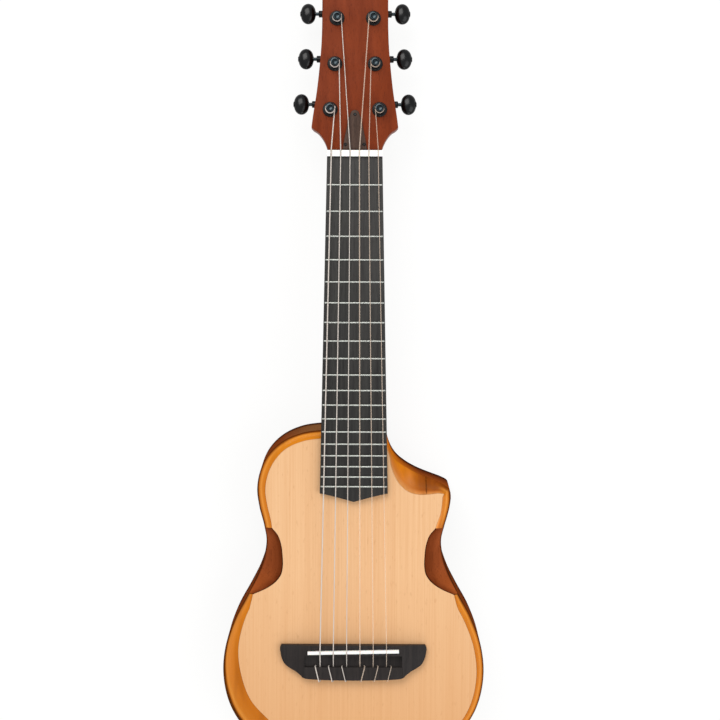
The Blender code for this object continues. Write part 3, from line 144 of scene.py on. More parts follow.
class Wire:
    """A node's output on which Python arithmetic adds Math nodes."""

    def __init__(self, graph: Graph, socket: bpy.types.NodeSocket) -> None:
        """Wraps one output socket of a graph."""
        self.graph = graph
        self.socket = socket

    def math(self, operation: str, first: Any, second: Any = 0.0, clamp: bool = False) -> Wire:
        """Adds one Math node.

        Args:
            operation: The node's operation.
            first: Its first value or wire.
            second: Its second value or wire.
            clamp: True to keep the result between 0 and 1.
        Returns:
            The node's result.
        """
        node = self.graph.node("ShaderNodeMath", {"operation": operation, "use_clamp": clamp}, {0: first, 1: second})
        return Wire(self.graph, node.outputs[0])

    def __add__(self, other: Any) -> Wire:
        """Sum."""
        return self.math("ADD", self, other)

    __radd__ = __add__

    def __sub__(self, other: Any) -> Wire:
        """Difference."""
        return self.math("SUBTRACT", self, other)

    def __rsub__(self, other: Any) -> Wire:
        """Reflected difference, as in 1 - mask."""
        return self.math("SUBTRACT", other, self)

    def __mul__(self, other: Any) -> Wire:
        """Product."""
        return self.math("MULTIPLY", self, other)

    def __truediv__(self, other: Any) -> Wire:
        """Quotient."""
        return self.math("DIVIDE", self, other)

    def held(self) -> Wire:
        """The value kept between 0 and 1."""
        return self.math("ADD", self, 0.0, True)

    def between(self, low: float, high: float) -> Wire:
        """0 at low and 1 at high, straight in between and held outside."""
        return ((self - low) / (high - low)).held()

    def bump_at(self, centre: float, reach: float) -> Wire:
        """1 at a value, falling to 0 at this reach on either side."""
        return (1 - self.math("ABSOLUTE", self - centre) / reach).held()


class Tree:
    """A node tree in which one method makes every node."""

    def __init__(self, owner: bpy.types.ID) -> None:
        """Empties the node tree of a material or a world."""
        owner.use_nodes = True
        self.tree = owner.node_tree
        self.tree.nodes.clear()

    def node(self, kind: str, settings: dict[str, Any] | None = None,
             inputs: dict[Any, Any] | None = None) -> bpy.types.Node:
        """Adds any node.

        Args:
            kind: The node's type.
            settings: Its properties, set first; stops are a ramp's (place, colour) pairs.
            inputs: Values, wires or sockets by the name or number of its inputs.
        Returns:
            The new node.
        """
        made = self.tree.nodes.new(kind)
        for key, value in (settings or {}).items():
            if key == "stops":
                ramp = made.color_ramp
                while len(ramp.elements) < len(value):
                    ramp.elements.new(0.5)
                for element, (place, colour) in zip(ramp.elements, value):
                    element.position = place
                    element.color = (*colour, 1.0)
            else:
                setattr(made, key, value)
        self.feed(made, inputs or {})
        return made

    def feed(self, made: bpy.types.Node, inputs: dict[Any, Any]) -> None:
        """Links or sets a node's inputs."""
        for key, value in inputs.items():
            source = getattr(value, "socket", value)
            if isinstance(source, bpy.types.NodeSocket):
                self.tree.links.new(source, made.inputs[key])
            else:
                made.inputs[key].default_value = source


class Graph(Tree):
    """The node tree of one material, built by expressions."""

    def __init__(self, name: str) -> None:
        """Makes the material and keeps its Principled shader and its output."""
        self.material = bpy.data.materials.new(name)
        super().__init__(self.material)
        self.shader = self.node("ShaderNodeBsdfPrincipled")
        self.out = self.node("ShaderNodeOutputMaterial", inputs={"Surface": self.shader.outputs[0]})
        self.place = Wire(self, self.node("ShaderNodeTexCoord").outputs["Object"])

    def grain(self, scales: Point, detail: float = 3.0, rough: float = 0.5, shift: Point = (0.0, 0.0, 0.0)) -> Wire:
        """Smooth noise about 0.5, with the place on the piece scaled along each axis and shifted."""
        scaled = self.node("ShaderNodeVectorMath", {"operation": "MULTIPLY"}, {0: self.place, 1: tuple(scales)})
        moved = self.node("ShaderNodeVectorMath", {"operation": "ADD"}, {0: scaled.outputs[0], 1: tuple(shift)})
        made = self.node("ShaderNodeTexNoise", inputs={"Vector": moved.outputs[0], "Scale": 1.0, "Detail": detail,
                                                       "Roughness": rough})
        return Wire(self, made.outputs[0])

    def axis(self, name: str) -> Wire:
        """One coordinate of the place on the piece."""
        made = self.node("ShaderNodeSeparateXYZ", inputs={0: self.place})
        return Wire(self, made.outputs[name])

    def mark(self, name: str) -> Wire:
        """A number that the mesh keeps at each point."""
        made = self.node("ShaderNodeAttribute", {"attribute_name": name})
        return Wire(self, made.outputs["Fac"])

    def upward(self) -> Wire:
        """The upward part of the surface's own direction, 1 where it lies flat."""
        normal = self.node("ShaderNodeNewGeometry").outputs["Normal"]
        return Wire(self, self.node("ShaderNodeSeparateXYZ", inputs={0: normal}).outputs["Z"])

    def blend(self, factor: Any, first: Any, second: Any) -> Wire:
        """A colour between two, by a factor."""
        pair = [(*value, 1.0) if isinstance(value, tuple) else value for value in (first, second)]
        made = self.node("ShaderNodeMix", {"data_type": "RGBA"}, {0: factor, 6: pair[0], 7: pair[1]})
        return Wire(self, made.outputs[2])

    def ramp(self, factor: Wire, stops: Sequence[tuple[float, Colour]]) -> Wire:
        """A colour read from a ramp."""
        made = self.node("ShaderNodeValToRGB", {"stops": stops}, {0: factor})
        return Wire(self, made.outputs[0])

    def finish(self, colour: Wire, rough: Any, relief: Wire | None = None, depth: float = 0.0001,
               **more: Any) -> bpy.types.Material:
        """Joins colour, roughness and relief to the shader.

        Args:
            colour: The base colour.
            rough: The roughness, a number or a wire.
            relief: The height for the bump, or None.
            depth: The height of the relief in metres.
            more: Other shader inputs by name, with _ for a space.
        Returns:
            The material.
        """
        values = {"Base Color": colour, "Roughness": rough}
        values.update({key.replace("_", " "): value for key, value in more.items()})
        if relief is not None:
            made = self.node("ShaderNodeBump", inputs={"Strength": 1.0, "Distance": depth, "Height": relief})
            values["Normal"] = made.outputs[0]
        self.feed(self.shader, values)
        return self.material


# Finishes

@dataclass(frozen=True)
class Spruce:
    """Pale spruce with fine lines along the instrument, under a thin satin varnish."""

    pale: Colour = tint(239, 193, 146)
    line: Colour = tint(224, 170, 120)
    fleck: Colour = tint(192, 134, 86)
    # low is the painted shade that darkens the soundboard towards the tail
    low: Colour = tint(214, 153, 98)
    rough: float = 0.42
    line_scale: Point = (900.0, 6.0, 60.0)
    band_scale: Point = (95.0, 2.5, 10.0)
    hair_scale: Point = (2600.0, 60.0, 80.0)
    fleck_scale: Point = (520.0, 130.0, 90.0)

    def make(self) -> bpy.types.Material:
        """Builds the material."""
        graph = Graph("spruce")
        lines = graph.grain(self.line_scale, 3.0, 0.65)
        bands = graph.grain(self.band_scale, 4.0, 0.6)
        hairs = graph.grain(self.hair_scale, 2.0)
        flecks = graph.grain(self.fleck_scale, 2.0, shift=(3.0, 1.0, 0.0)).between(0.62, 0.76)
        share = (lines.between(0.36, 0.68) * 0.5 + bands.between(0.32, 0.72) * 0.3 + hairs * 0.2).held()
        colour = graph.blend(share, self.pale, self.line)
        colour = graph.blend(flecks * 0.3, colour, self.fleck)
        # painted shade: the soundboard darkens towards the tail
        low = graph.axis("Y").between(0.03, -0.14) * 0.6
        colour = graph.blend(low, colour, self.low)
        return graph.finish(colour, self.rough + lines * 0.08, lines * 0.6 + hairs * 0.4, 0.00004,
                            Specular_IOR_Level=0.12)


@dataclass(frozen=True)
class Amber:
    """Amber stained wood of the body's edge: painted shade on its outer face, a painted highlight on its rounding,
    bright by the soundboard.
    """

    name: str = "amber_edge"
    # dark and brown are also the painted shade on the outer face, bright the painted highlight along the rounding
    dark: Colour = tint(70, 32, 8)
    brown: Colour = tint(112, 54, 14)
    deep: Colour = tint(196, 110, 28)
    body: Colour = tint(208, 122, 38)
    bright: Colour = tint(232, 150, 62)
    rim: Colour = tint(212, 134, 62)
    # foot is the strength of the painted shade on steep faces
    foot: float = 0.6
    wander_scale: Point = (60.0, 60.0, 60.0)
    figure_scale: Point = (300.0, 22.0, 160.0)
    pore_scale: Point = (2200.0, 120.0, 1200.0)
    streak_scale: Point = (70.0, 9.0, 50.0)

    def tone(self, graph: Graph) -> Wire:
        """The colour from the outer face to the soundboard, darkened by painted shade where the edge faces the head.
        """
        across = graph.mark("across")
        ahead = graph.mark("ahead")
        wander = graph.grain(self.wander_scale, 2.0) - 0.5
        # the ramps paint the rounded edge's light and shade: painted shade on the steep outer face, a painted
        # highlight along the rounding
        place = (across + wander * 0.10 - 0.32 + ahead.between(0.0, 0.9) * 0.18).held()
        band = graph.ramp(place, (
            (0.0, self.dark), (0.05, self.brown), (0.17, self.deep), (0.36, self.bright), (0.5, self.body),
            (0.68, self.deep), (0.84, self.body), (0.95, self.rim), (1.0, self.rim)))
        rest = graph.ramp((across + wander * 0.08 - 0.22).held(), (
            (0.0, self.dark), (0.03, self.brown), (0.08, self.deep), (0.17, self.bright), (0.32, self.body),
            (0.6, self.deep), (0.86, self.deep), (0.95, tint(186, 100, 30)), (1.0, tint(166, 88, 28))))
        y = graph.axis("Y")
        wide = y.between(0.03, -0.005) * (1 - graph.axis("X").between(-0.05, 0.03))
        rest = graph.blend(y.between(-0.09, -0.05) * across.bump_at(0.55, 0.3) * 0.6, rest, tint(228, 140, 62))
        base = graph.blend(wide, band, rest)
        base = graph.blend(ahead.between(0.1, 0.9) * across.between(0.3, 0.6) * 0.4, base, tint(236, 146, 22))
        # painted shade: where the edge faces the head it darkens towards its outer face
        reach = across - (1 - ahead) * 0.3 - ahead.bump_at(0.84, 0.13) * 0.16
        shaded = ahead.between(0.15, 0.8) * (1 - reach.between(0.12, 0.45))
        return graph.blend(shaded * 0.75, base, tint(132, 62, 14))

    def make(self) -> bpy.types.Material:
        """Builds the material."""
        graph = Graph(self.name)
        figure = graph.grain(self.figure_scale, 4.0, 0.6)
        pores = graph.grain(self.pore_scale, 2.0)
        streak = graph.grain(self.streak_scale, 2.0, shift=(5.0, 0.0, 2.0)).between(0.54, 0.74)
        colour = graph.blend(figure.between(0.35, 0.75) * 0.3, self.tone(graph), self.deep)
        colour = graph.blend(streak * 0.35, colour, self.brown)
        # painted shade on the steep faces, by how little the surface faces up
        colour = graph.blend((1 - graph.upward().between(0.3, 0.75)) * self.foot, colour, self.dark)
        varnish = graph.mark("across").between(0.2, 0.5) * 0.12
        return graph.finish(colour, 0.3 + figure * 0.1, figure * 0.5 + pores * 0.5, 0.00003, Coat_Weight=varnish,
                            Coat_Roughness=0.12, Specular_IOR_Level=0.0)


@dataclass(frozen=True)
class ScoopAmber(Amber):
    """The same wood in the cutaway's scoop, with painted shade that darkens it towards the joint in it."""

    name: str = "amber_scoop"
    # foot: the painted shade on steep faces, weaker in the scoop
    foot: float = 0.2
    seam_x: float = 0.064
    drift_scale: Point = (70.0, 50.0, 70.0)

    def tone(self, graph: Graph) -> Wire:
        """The colour across the scoop, with painted shade on both sides of the joint."""
        across = graph.mark("across")
        x = graph.axis("X")
        warm = graph.ramp(across, (
            (0.0, tint(216, 126, 26)), (0.12, tint(224, 130, 26)), (0.4, tint(222, 128, 30)),
            (0.66, tint(220, 128, 44)), (0.8, tint(228, 146, 72)), (1.0, tint(238, 164, 92))))
        # painted shade of the scoop towards and beyond the joint, brighter next to the soundboard
        shade_tone = graph.ramp(across, (
            (0.0, tint(140, 68, 20)), (0.2, tint(156, 80, 26)), (0.55, tint(166, 90, 32)), (0.72, tint(176, 90, 18)),
            (0.86, tint(228, 136, 56)), (1.0, tint(246, 170, 96))))
        wander = graph.grain(self.drift_scale, 2.0) - 0.5
        base = graph.blend((x + wander * 0.006).between(0.047, 0.0585), warm, shade_tone)
        base = graph.blend(x.bump_at(0.0495, 0.006) * across.bump_at(0.45, 0.5) * 0.8, base, tint(214, 134, 72))
        # painted shadow in the crease beside the joint
        near = (x + wander * 0.004).between(self.seam_x - 0.006, self.seam_x)
        base = graph.blend(near * x.bump_at(self.seam_x - 0.001, 0.004) * (1 - across) * 0.35, base, tint(112, 50, 10))
        band = graph.axis("Y").between(0.1112, 0.1055)
        base = graph.blend(band * x.between(0.074, 0.08), base, super().tone(graph))
        line = x.bump_at(self.seam_x, 0.0011)
        return graph.blend(line * (1 - across.between(0.8, 0.97)) * 0.65, base, tint(72, 34, 10))


@dataclass(frozen=True)
class Wood:
    """A wood of two colours, which may change over the piece."""

    name: str
    light: Colour
    dark: Colour

    def tone(self, graph: Graph, share: Wire) -> Wire:
        """The wood's colour under its pores, by a share of 0 to 1 of the darker one."""
        return graph.blend(share, self.light, self.dark)


@dataclass(frozen=True)
class Mahogany(Wood):
    """Reddish brown wood with straight grain and small dark pores, varnished or plain."""

    line: Colour
    gloss: float = 0.1
    specular: float = 0.3
    figure_scale: Point = (150.0, 5.0, 150.0)
    ribbon_scale: Point = (45.0, 3.0, 45.0)
    pore_scale: Point = (1500.0, 55.0, 1500.0)

    def make(self) -> bpy.types.Material:
        """Builds the material."""
        graph = Graph(self.name)
        figure = graph.grain(self.figure_scale, 4.0, 0.6)
        ribbon = graph.grain(self.ribbon_scale, 2.0, shift=(2.0, 0.0, 7.0))
        pores = graph.grain(self.pore_scale, 1.0).between(0.62, 0.72)
        share = (figure.between(0.3, 0.7) * 0.6 + ribbon.between(0.3, 0.7) * 0.4).held()
        colour = graph.blend(pores * 0.45, self.tone(graph, share), self.line)
        relief = (1 - pores) * 0.6 + figure * 0.4
        return graph.finish(colour, 0.34 + share * 0.1, relief, 0.00004, Coat_Weight=self.gloss, Coat_Roughness=0.15,
                            Specular_IOR_Level=self.specular)


@dataclass(frozen=True)
class PortWood(Mahogany):
    """The mahogany of the sound ports: painted shade darkens it towards the soundboard, a painted patch of light lies
    by the outer lip at the tail end, and a dark line runs along each edge.
    """

    def tone(self, graph: Graph, share: Wire) -> Wire:
        """The colour from the outer lip to the soundboard."""
        across = graph.mark("across")
        # painted shade: darker towards the soundboard, mixed with the grain
        deep = (share * 0.55 + across.between(0.15, 0.9) * 0.45).held()
        base = graph.blend(deep, self.light, self.dark)
        # painted light near the outer lip at the port's tail end
        glow = (1 - graph.axis("Y").between(0.012, 0.032)) * (1 - across.between(0.3, 0.9)) * 0.45
        base = graph.blend(glow, base, tint(180, 92, 38))
        rim = (across.between(0.92, 0.975) + (1 - across.between(0.02, 0.08))).held()
        return graph.blend(rim * 0.9, base, self.line)


@dataclass(frozen=True)
class SideWood(Mahogany):
    """The mahogany of the sides: painted shade darkens them at the back, painted light makes them paler by the heel,
    and they are amber in the cutaway.
    """

    def tone(self, graph: Graph, share: Wire) -> Wire:
        """The colour from the back plate up to the edge."""
        x, y, height = graph.axis("X"), graph.axis("Y"), graph.axis("Z")
        # painted shade: darker towards the back and lighter up to the edge, mixed with the grain
        base = graph.blend((share * 0.6 + 0.4 - height.between(0.02, 0.058) * 0.4).held(), self.light, self.dark)
        upper = y.between(0.115, 0.125)
        # painted light: a paler, greyer patch on the bass shoulder by the heel
        pale = upper * x.between(-0.064, -0.036) * (1 - x.between(0.0, 0.01)) * (1 - share * 0.3)
        base = graph.blend(pale * 0.8, base, tint(142, 102, 62))
        warm = y.between(0.105, 0.115) * (1 - x.between(0.034, 0.060)) * x.between(0.0, 0.01)
        base = graph.blend(warm * height.between(0.002, 0.04), base, tint(226, 122, 22))
        lit = y.between(0.098, 0.104) * x.between(0.03, 0.04) * height.between(0.02, 0.042)
        base = graph.blend(lit * 0.45, base, tint(176, 88, 28))
        # painted shade: the darkest band along the foot of the wall by the back
        return graph.blend(1 - height.between(0.006, 0.019), base, self.line)


@dataclass(frozen=True)
class DarkWood(Wood):
    """Dark open-grained wood, oiled and not varnished."""

    rough: float = 0.5
    streak_scale: Point = (420.0, 9.0, 300.0)
    wide_scale: Point = (70.0, 3.0, 60.0)
    pore_scale: Point = (2400.0, 110.0, 1800.0)

    def make(self) -> bpy.types.Material:
        """Builds the material."""
        graph = Graph(self.name)
        streak = graph.grain(self.streak_scale, 4.0, 0.6)
        wide = graph.grain(self.wide_scale, 2.0, shift=(4.0, 2.0, 0.0))
        pores = graph.grain(self.pore_scale, 1.0).between(0.58, 0.72)
        share = (streak.between(0.3, 0.7) * 0.65 + wide * 0.35).held()
        colour = graph.blend(pores * 0.5, self.tone(graph, share), tuple(0.35 * c for c in self.dark))
        return graph.finish(colour, self.rough + share * 0.12, (1 - pores) * 0.7 + streak * 0.3, 0.00005,
                            Specular_IOR_Level=0.2)


@dataclass(frozen=True)
class BoardWood(DarkWood):
    """The fingerboard's wood, greyer towards the nut."""

    worn: Colour = tint(76, 74, 72)

    def tone(self, graph: Graph, share: Wire) -> Wire:
        """The colour along the board."""
        faded = graph.axis("Y").between(0.18, along(0.0)) * 0.7 * (1 - share * 0.6)
        return graph.blend(faded, super().tone(graph, share), self.worn)


@dataclass(frozen=True)
class BareWood:
    """Unfinished light wood inside the body."""

    name: str = "bare_wood"
    light: Colour = tint(214, 178, 132)
    dark: Colour = tint(186, 144, 98)
    line_scale: Point = (400.0, 12.0, 300.0)

    def make(self) -> bpy.types.Material:
        """Builds the material."""
        graph = Graph(self.name)
        lines = graph.grain(self.line_scale, 3.0)
        colour = graph.blend(lines.between(0.35, 0.7), self.light, self.dark)
        return graph.finish(colour, 0.7 + lines * 0.1, lines, 0.00005)


@dataclass(frozen=True)
class Bone:
    """Polished white bone with faint length lines."""

    name: str = "bone"
    pale: Colour = tint(252, 251, 246)
    line: Colour = tint(232, 228, 214)
    line_scale: Point = (30.0, 900.0, 900.0)

    def make(self) -> bpy.types.Material:
        """Builds the material."""
        graph = Graph(self.name)
        lines = graph.grain(self.line_scale, 2.0)
        colour = graph.blend(lines.between(0.5, 0.8) * 0.6, self.pale, self.line)
        return graph.finish(colour, 0.24 + lines * 0.1, lines, 0.00001, Subsurface_Weight=0.1,
                            Subsurface_Scale=0.002)


@dataclass(frozen=True)
class Metal:
    """Polished metal, plating or hard plastic, with faint handling marks."""

    name: str
    colour: Colour
    worn: Colour
    rough: float
    metallic: float
    specular: float = 0.5
    cloud_scale: Point = (260.0, 260.0, 260.0)
    fine_scale: Point = (2500.0, 400.0, 2500.0)

    def make(self) -> bpy.types.Material:
        """Builds the material."""
        graph = Graph(self.name)
        cloud = graph.grain(self.cloud_scale, 4.0, 0.6)
        fine = graph.grain(self.fine_scale, 2.0)
        colour = graph.blend(cloud.between(0.5, 0.8) * 0.5, self.colour, self.worn)
        return graph.finish(colour, self.rough + cloud * 0.08 + fine * 0.04, fine, 0.000004, Metallic=self.metallic,
                            Specular_IOR_Level=self.specular)


@dataclass(frozen=True)
class StringStuff:
    """A string: clear nylon, or nylon wound with fine silvery wire."""

    name: str
    colour: Colour
    wound: bool
    clear_share: float = 0.32
    clear_index: float = 1.53

    def make(self) -> bpy.types.Material:
        """Builds the material."""
        graph = Graph(self.name)
        turns = graph.node("ShaderNodeTexWave", {"bands_direction": "Y", "wave_profile": "SIN"},
                           {"Vector": graph.place, "Scale": 900.0 if self.wound else 60.0, "Distortion": 0.2})
        turn = Wire(graph, turns.outputs[1])
        # shade_tone is painted shade in the grooves between the winding's turns; on plain nylon it gives only a faint
        # banding
        shade_tone = tuple(0.7 * c for c in self.colour)
        colour = graph.blend((1 - turn) * (0.5 if self.wound else 0.08), self.colour, shade_tone)
        if self.wound:
            return graph.finish(colour, 0.34 + turn * 0.1, turn, 0.00006, Metallic=0.35)
        return graph.finish(colour, 0.2 + turn * 0.03, turn, 0.000002, Alpha=self.clear_share,
                            IOR=self.clear_index)


@dataclass(frozen=True)
class Stage:
    """The floor under the instrument, near white to the camera and still taking its shadow."""

    paper: Colour = (0.86, 0.86, 0.855)
    shown: float = 0.165
    lift: float = 0.87
    mottle_scale: Point = (3.0, 3.0, 3.0)

    def make(self) -> bpy.types.Material:
        """Builds the floor's material."""
        graph = Graph("pale_floor")
        path = graph.node("ShaderNodeLightPath").outputs
        seen, shine, clear = (Wire(graph, path[f"Is {ray} Ray"]) for ray in ("Camera", "Glossy", "Transmission"))
        shown = (seen + shine + clear).held()
        mottle = graph.grain(self.mottle_scale, 2.0)
        colour = graph.blend(mottle * 0.04, self.paper, tuple(0.97 * c for c in self.paper))
        faint = graph.blend(mottle * 0.04, tuple(self.shown * c for c in self.paper), (self.shown,) * 3)
        graph.finish(graph.blend(shown, colour, faint), 0.95, Specular_IOR_Level=0.0)
        glow = graph.node("ShaderNodeEmission", inputs={"Color": WHITE, "Strength": shown * self.lift})
        both = graph.node("ShaderNodeAddShader", inputs={0: graph.shader.outputs[0], 1: glow.outputs[0]})
        graph.feed(graph.out, {"Surface": both.outputs[0]})
        return graph.material


FINISHES = {
    "spruce": Spruce(),
    "amber": Amber(),
    "scoop": ScoopAmber(),
    # mahogany_body's third colour is its pores and also the painted shade at the foot of the sides, which covers the
    # thin back plate
    "mahogany": SideWood("mahogany_body", tint(136, 65, 27), tint(102, 46, 19), tint(58, 24, 14), 0.0, 0.0),
    # mahogany_port's dark colour is also its painted shade towards the soundboard
    "port": PortWood("mahogany_port", tint(158, 80, 42), tint(94, 38, 12), tint(46, 18, 6), 0.0, 0.0),
    "neck": Mahogany("mahogany_neck", tint(138, 60, 29), tint(106, 42, 20), tint(72, 28, 14), 0.0, 0.06),
    "blockwood": BareWood(),
    "ebony": BoardWood("fingerboard_wood", tint(60, 59, 56), tint(32, 30, 30), 0.5),
    "bridge": DarkWood("bridge_wood", tint(52, 45, 42), tint(28, 25, 25), 0.45),
    "rosewood": DarkWood("cover_wood", tint(86, 64, 52), tint(56, 38, 30), 0.45),
    "bone": Bone(),
    "fret_wire": Metal("fret_wire", tint(176, 178, 172), tint(142, 144, 138), 0.24, 1.0),
    "black_metal": Metal("black_plating", tint(15, 15, 16), tint(26, 26, 28), 0.22, 0.0, 0.22),
    "knob_black": Metal("black_knob", tint(4, 4, 5), tint(9, 9, 10), 0.16, 0.0, 0.34),
    "dark_chrome": Metal("black_chrome", tint(52, 60, 64), tint(34, 40, 44), 0.12, 1.0),
    "steel": Metal("plain_steel", tint(170, 170, 168), tint(140, 138, 134), 0.35, 1.0),
    "nylon": StringStuff("clear_nylon", tint(246, 222, 200), False),
    "wound": StringStuff("wound_string", tint(228, 216, 206), True),
}


class Palette:
    """Every finish of the instrument, built once."""

    def __init__(self) -> None:
        """Builds the materials by the record's slot names and a few more."""
        self.by_slot = {slot: finish.make() for slot, finish in FINISHES.items()}

    def paint(self, thing: bpy.types.Object, finish: str) -> None:
        """Gives a piece or a CAD node its one finish."""
        thing.data.materials.clear()
        thing.data.materials.append(self.by_slot[finish])


# Mesh work

class Shape:
    """A mesh under construction, with the ways that this instrument's pieces are made."""

    def __init__(self, mesh: bpy.types.Mesh) -> None:
        """Keeps one mesh."""
        self.mesh = mesh

    @classmethod
    def from_bmesh(cls, bm: bmesh.types.BMesh) -> Shape:
        """A shape from a bmesh, faces out."""
        bmesh.ops.recalc_face_normals(bm, faces=bm.faces)
        mesh = bpy.data.meshes.new("piece")
        bm.to_mesh(mesh)
        bm.free()
        return cls(mesh)

    @classmethod
    def loft(cls, sections: Sequence[Sequence[Point]], closed: bool = False,
             marks: dict[str, Sequence[Sequence[float]]] | None = None) -> Shape:
        """Joins equal sections into a solid.

        Args:
            sections: The sections, each a closed ring of points.
            closed: True to join the last section to the first, False to cap both.
            marks: Numbers to keep at each point, by name, laid out as the sections are.
        Returns:
            The solid.
        """
        bm = bmesh.new()
        layers = {name: bm.verts.layers.float.new(name) for name in (marks or {})}
        rings = []
        for number, section in enumerate(sections):
            ring = []
            for index, point in enumerate(section):
                vert = bm.verts.new(point)
                for name, layer in layers.items():
                    vert[layer] = marks[name][number][index]
                ring.append(vert)
            rings.append(ring)
        pairs = list(zip(rings, rings[1:])) + ([(rings[-1], rings[0])] if closed else [])
        count = len(rings[0])
        for first, second in pairs:
            for index in range(count):
                after = (index + 1) % count
                bm.faces.new((first[index], first[after], second[after], second[index]))
        if not closed:
            bm.faces.new(rings[0])
            bm.faces.new(rings[-1])
        return cls.from_bmesh(bm)

    @classmethod
    def plate(cls, outline: Sequence[Point], low: float, high: float, round_over: float = 0.0,
              steps: int = 3) -> Shape:
        """A plate with an optional round-over along both of its edges."""
        bm = bmesh.new()
        ring = [bm.verts.new((point[0], point[1], low)) for point in outline]
        floor = bm.faces.new(ring)
        made = bmesh.ops.extrude_face_region(bm, geom=[floor])
        top = [item for item in made["geom"] if isinstance(item, bmesh.types.BMVert)]
        bmesh.ops.translate(bm, verts=top, vec=(0, 0, high - low))
        bmesh.ops.recalc_face_normals(bm, faces=bm.faces)
        if round_over:
            rims = [edge for edge in bm.edges if abs(edge.verts[0].co.z - edge.verts[1].co.z) < 1e-9]
            bmesh.ops.bevel(bm, geom=rims, offset=round_over, segments=steps, profile=0.5, affect="EDGES")
        return cls.from_bmesh(bm)

    @classmethod
    def box(cls, low: Point, high: Point, round_over: float = 0.0) -> Shape:
        """A block between two corners."""
        outline = [(low[0], low[1]), (high[0], low[1]), (high[0], high[1]), (low[0], high[1])]
        return cls.plate(outline, low[2], high[2], round_over)

    @classmethod
    def turned(cls, profile: Sequence[tuple[float, float]], sides: int = 48, axis: Axis = Axis.UP,
               ring: bool = False) -> Shape:
        """A solid of revolution from (radius, height) points, or a ring from a closed profile."""
        sections = []
        for index in range(sides):
            angle = 2 * math.pi * index / sides
            flat = (math.cos(angle), math.sin(angle))
            sections.append([(h, r * flat[0], r * flat[1]) if axis is Axis.ACROSS else (r * flat[0], r * flat[1], h)
                             for r, h in profile])
        if ring:
            return cls.loft(sections, closed=True)
        return cls.loft([[section[index] for section in sections] for index in range(len(profile))])

    @classmethod
    def rod(cls, radius: float, low: float, high: float, sides: int = 48, axis: Axis = Axis.UP) -> Shape:
        """A straight round rod."""
        return cls.turned([(radius, low), (radius, high)], sides, axis)

    def moved(self, matrix: Matrix) -> Shape:
        """A moved copy, kept faces out under a mirror."""
        copy = self.mesh.copy()
        copy.transform(matrix)
        if matrix.determinant() < 0:
            copy.flip_normals()
        return Shape(copy)

    def with_all(self, others: Iterable[Shape]) -> Shape:
        """One mesh of several bodies."""
        bm = bmesh.new()
        for shape in (self, *others):
            bm.from_mesh(shape.mesh)
        return Shape.from_bmesh(bm)

    def combined(self, operation: str, *others: Shape) -> Shape:
        """The exact Boolean with other shapes, one after the other."""
        result = self
        for other in others:
            target, tool = placed("target", result.mesh), placed("tool", other.mesh)
            modifier = target.modifiers.new("join", "BOOLEAN")
            modifier.operation, modifier.solver, modifier.object = operation, "EXACT", tool
            bpy.context.view_layer.update()
            graph = bpy.context.evaluated_depsgraph_get()
            result = Shape(bpy.data.meshes.new_from_object(target.evaluated_get(graph)))
            for thing in (target, tool):
                bpy.data.objects.remove(thing)
        return result

    def cut(self, *others: Shape) -> Shape:
        """The shape with others taken out of it."""
        return self.combined("DIFFERENCE", *others)

    def grown(self, *others: Shape) -> Shape:
        """The shape united with others."""
        return self.combined("UNION", *others)

    def softened(self, width: float, steps: int = 2, angle: float = 40.0) -> Shape:
        """The shape with its sharp edges rounded over."""
        bm = bmesh.new()
        bm.from_mesh(self.mesh)
        bmesh.ops.remove_doubles(bm, verts=bm.verts, dist=1e-6)
        limit = math.radians(angle)
        sharp = [edge for edge in bm.edges if len(edge.link_faces) == 2 and edge.calc_face_angle(0.0) > limit]
        bmesh.ops.bevel(bm, geom=sharp, offset=width, segments=steps, profile=0.5, affect="EDGES",
                        clamp_overlap=True)
        return Shape.from_bmesh(bm)


@dataclass
class Bench:
    """Puts finished pieces in the scene, painted and on their bodies."""

    palette: Palette
    record: dict[str, Any]
    count: int = 0

    def slot_of(self, node: str) -> str:
        """The record's material slot of a CAD node."""
        return next(part["material_slot"] for part in self.record["subparts"] if part["node"] == node)

    def add(self, name: str, shape: Shape, finish: str, nodes: Sequence[str], body: str = "instrument",
            smooth: float = 35.0) -> bpy.types.Object:
        """Adds one piece that stands for CAD nodes.

        Args:
            name: The piece's name.
            shape: Its mesh, in the row frame.
            finish: A finish of the palette.
            nodes: The CAD nodes that it replaces.
            body: The CAD body that it rides.
            smooth: The angle in degrees up to which its edges are shaded smooth.
        Returns:
            The new object.
        """
        thing = placed(name, shape.mesh)
        shape.mesh.shade_smooth()
        shape.mesh.set_sharp_from_angle(angle=math.radians(smooth))
        return self.settle(thing, finish, nodes, body)

    def settle(self, thing: bpy.types.Object, finish: str, nodes: Sequence[str], body: str) -> bpy.types.Object:
        """Paints a new piece, puts it on its body and hides the CAD nodes that it replaces."""
        self.palette.paint(thing, finish)
        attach(thing, body)
        if nodes:
            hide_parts(*nodes)
            self.slot_of(nodes[0])
        self.count += 1
        LOG.info("%s rides %s", thing.name, body)
        return thing


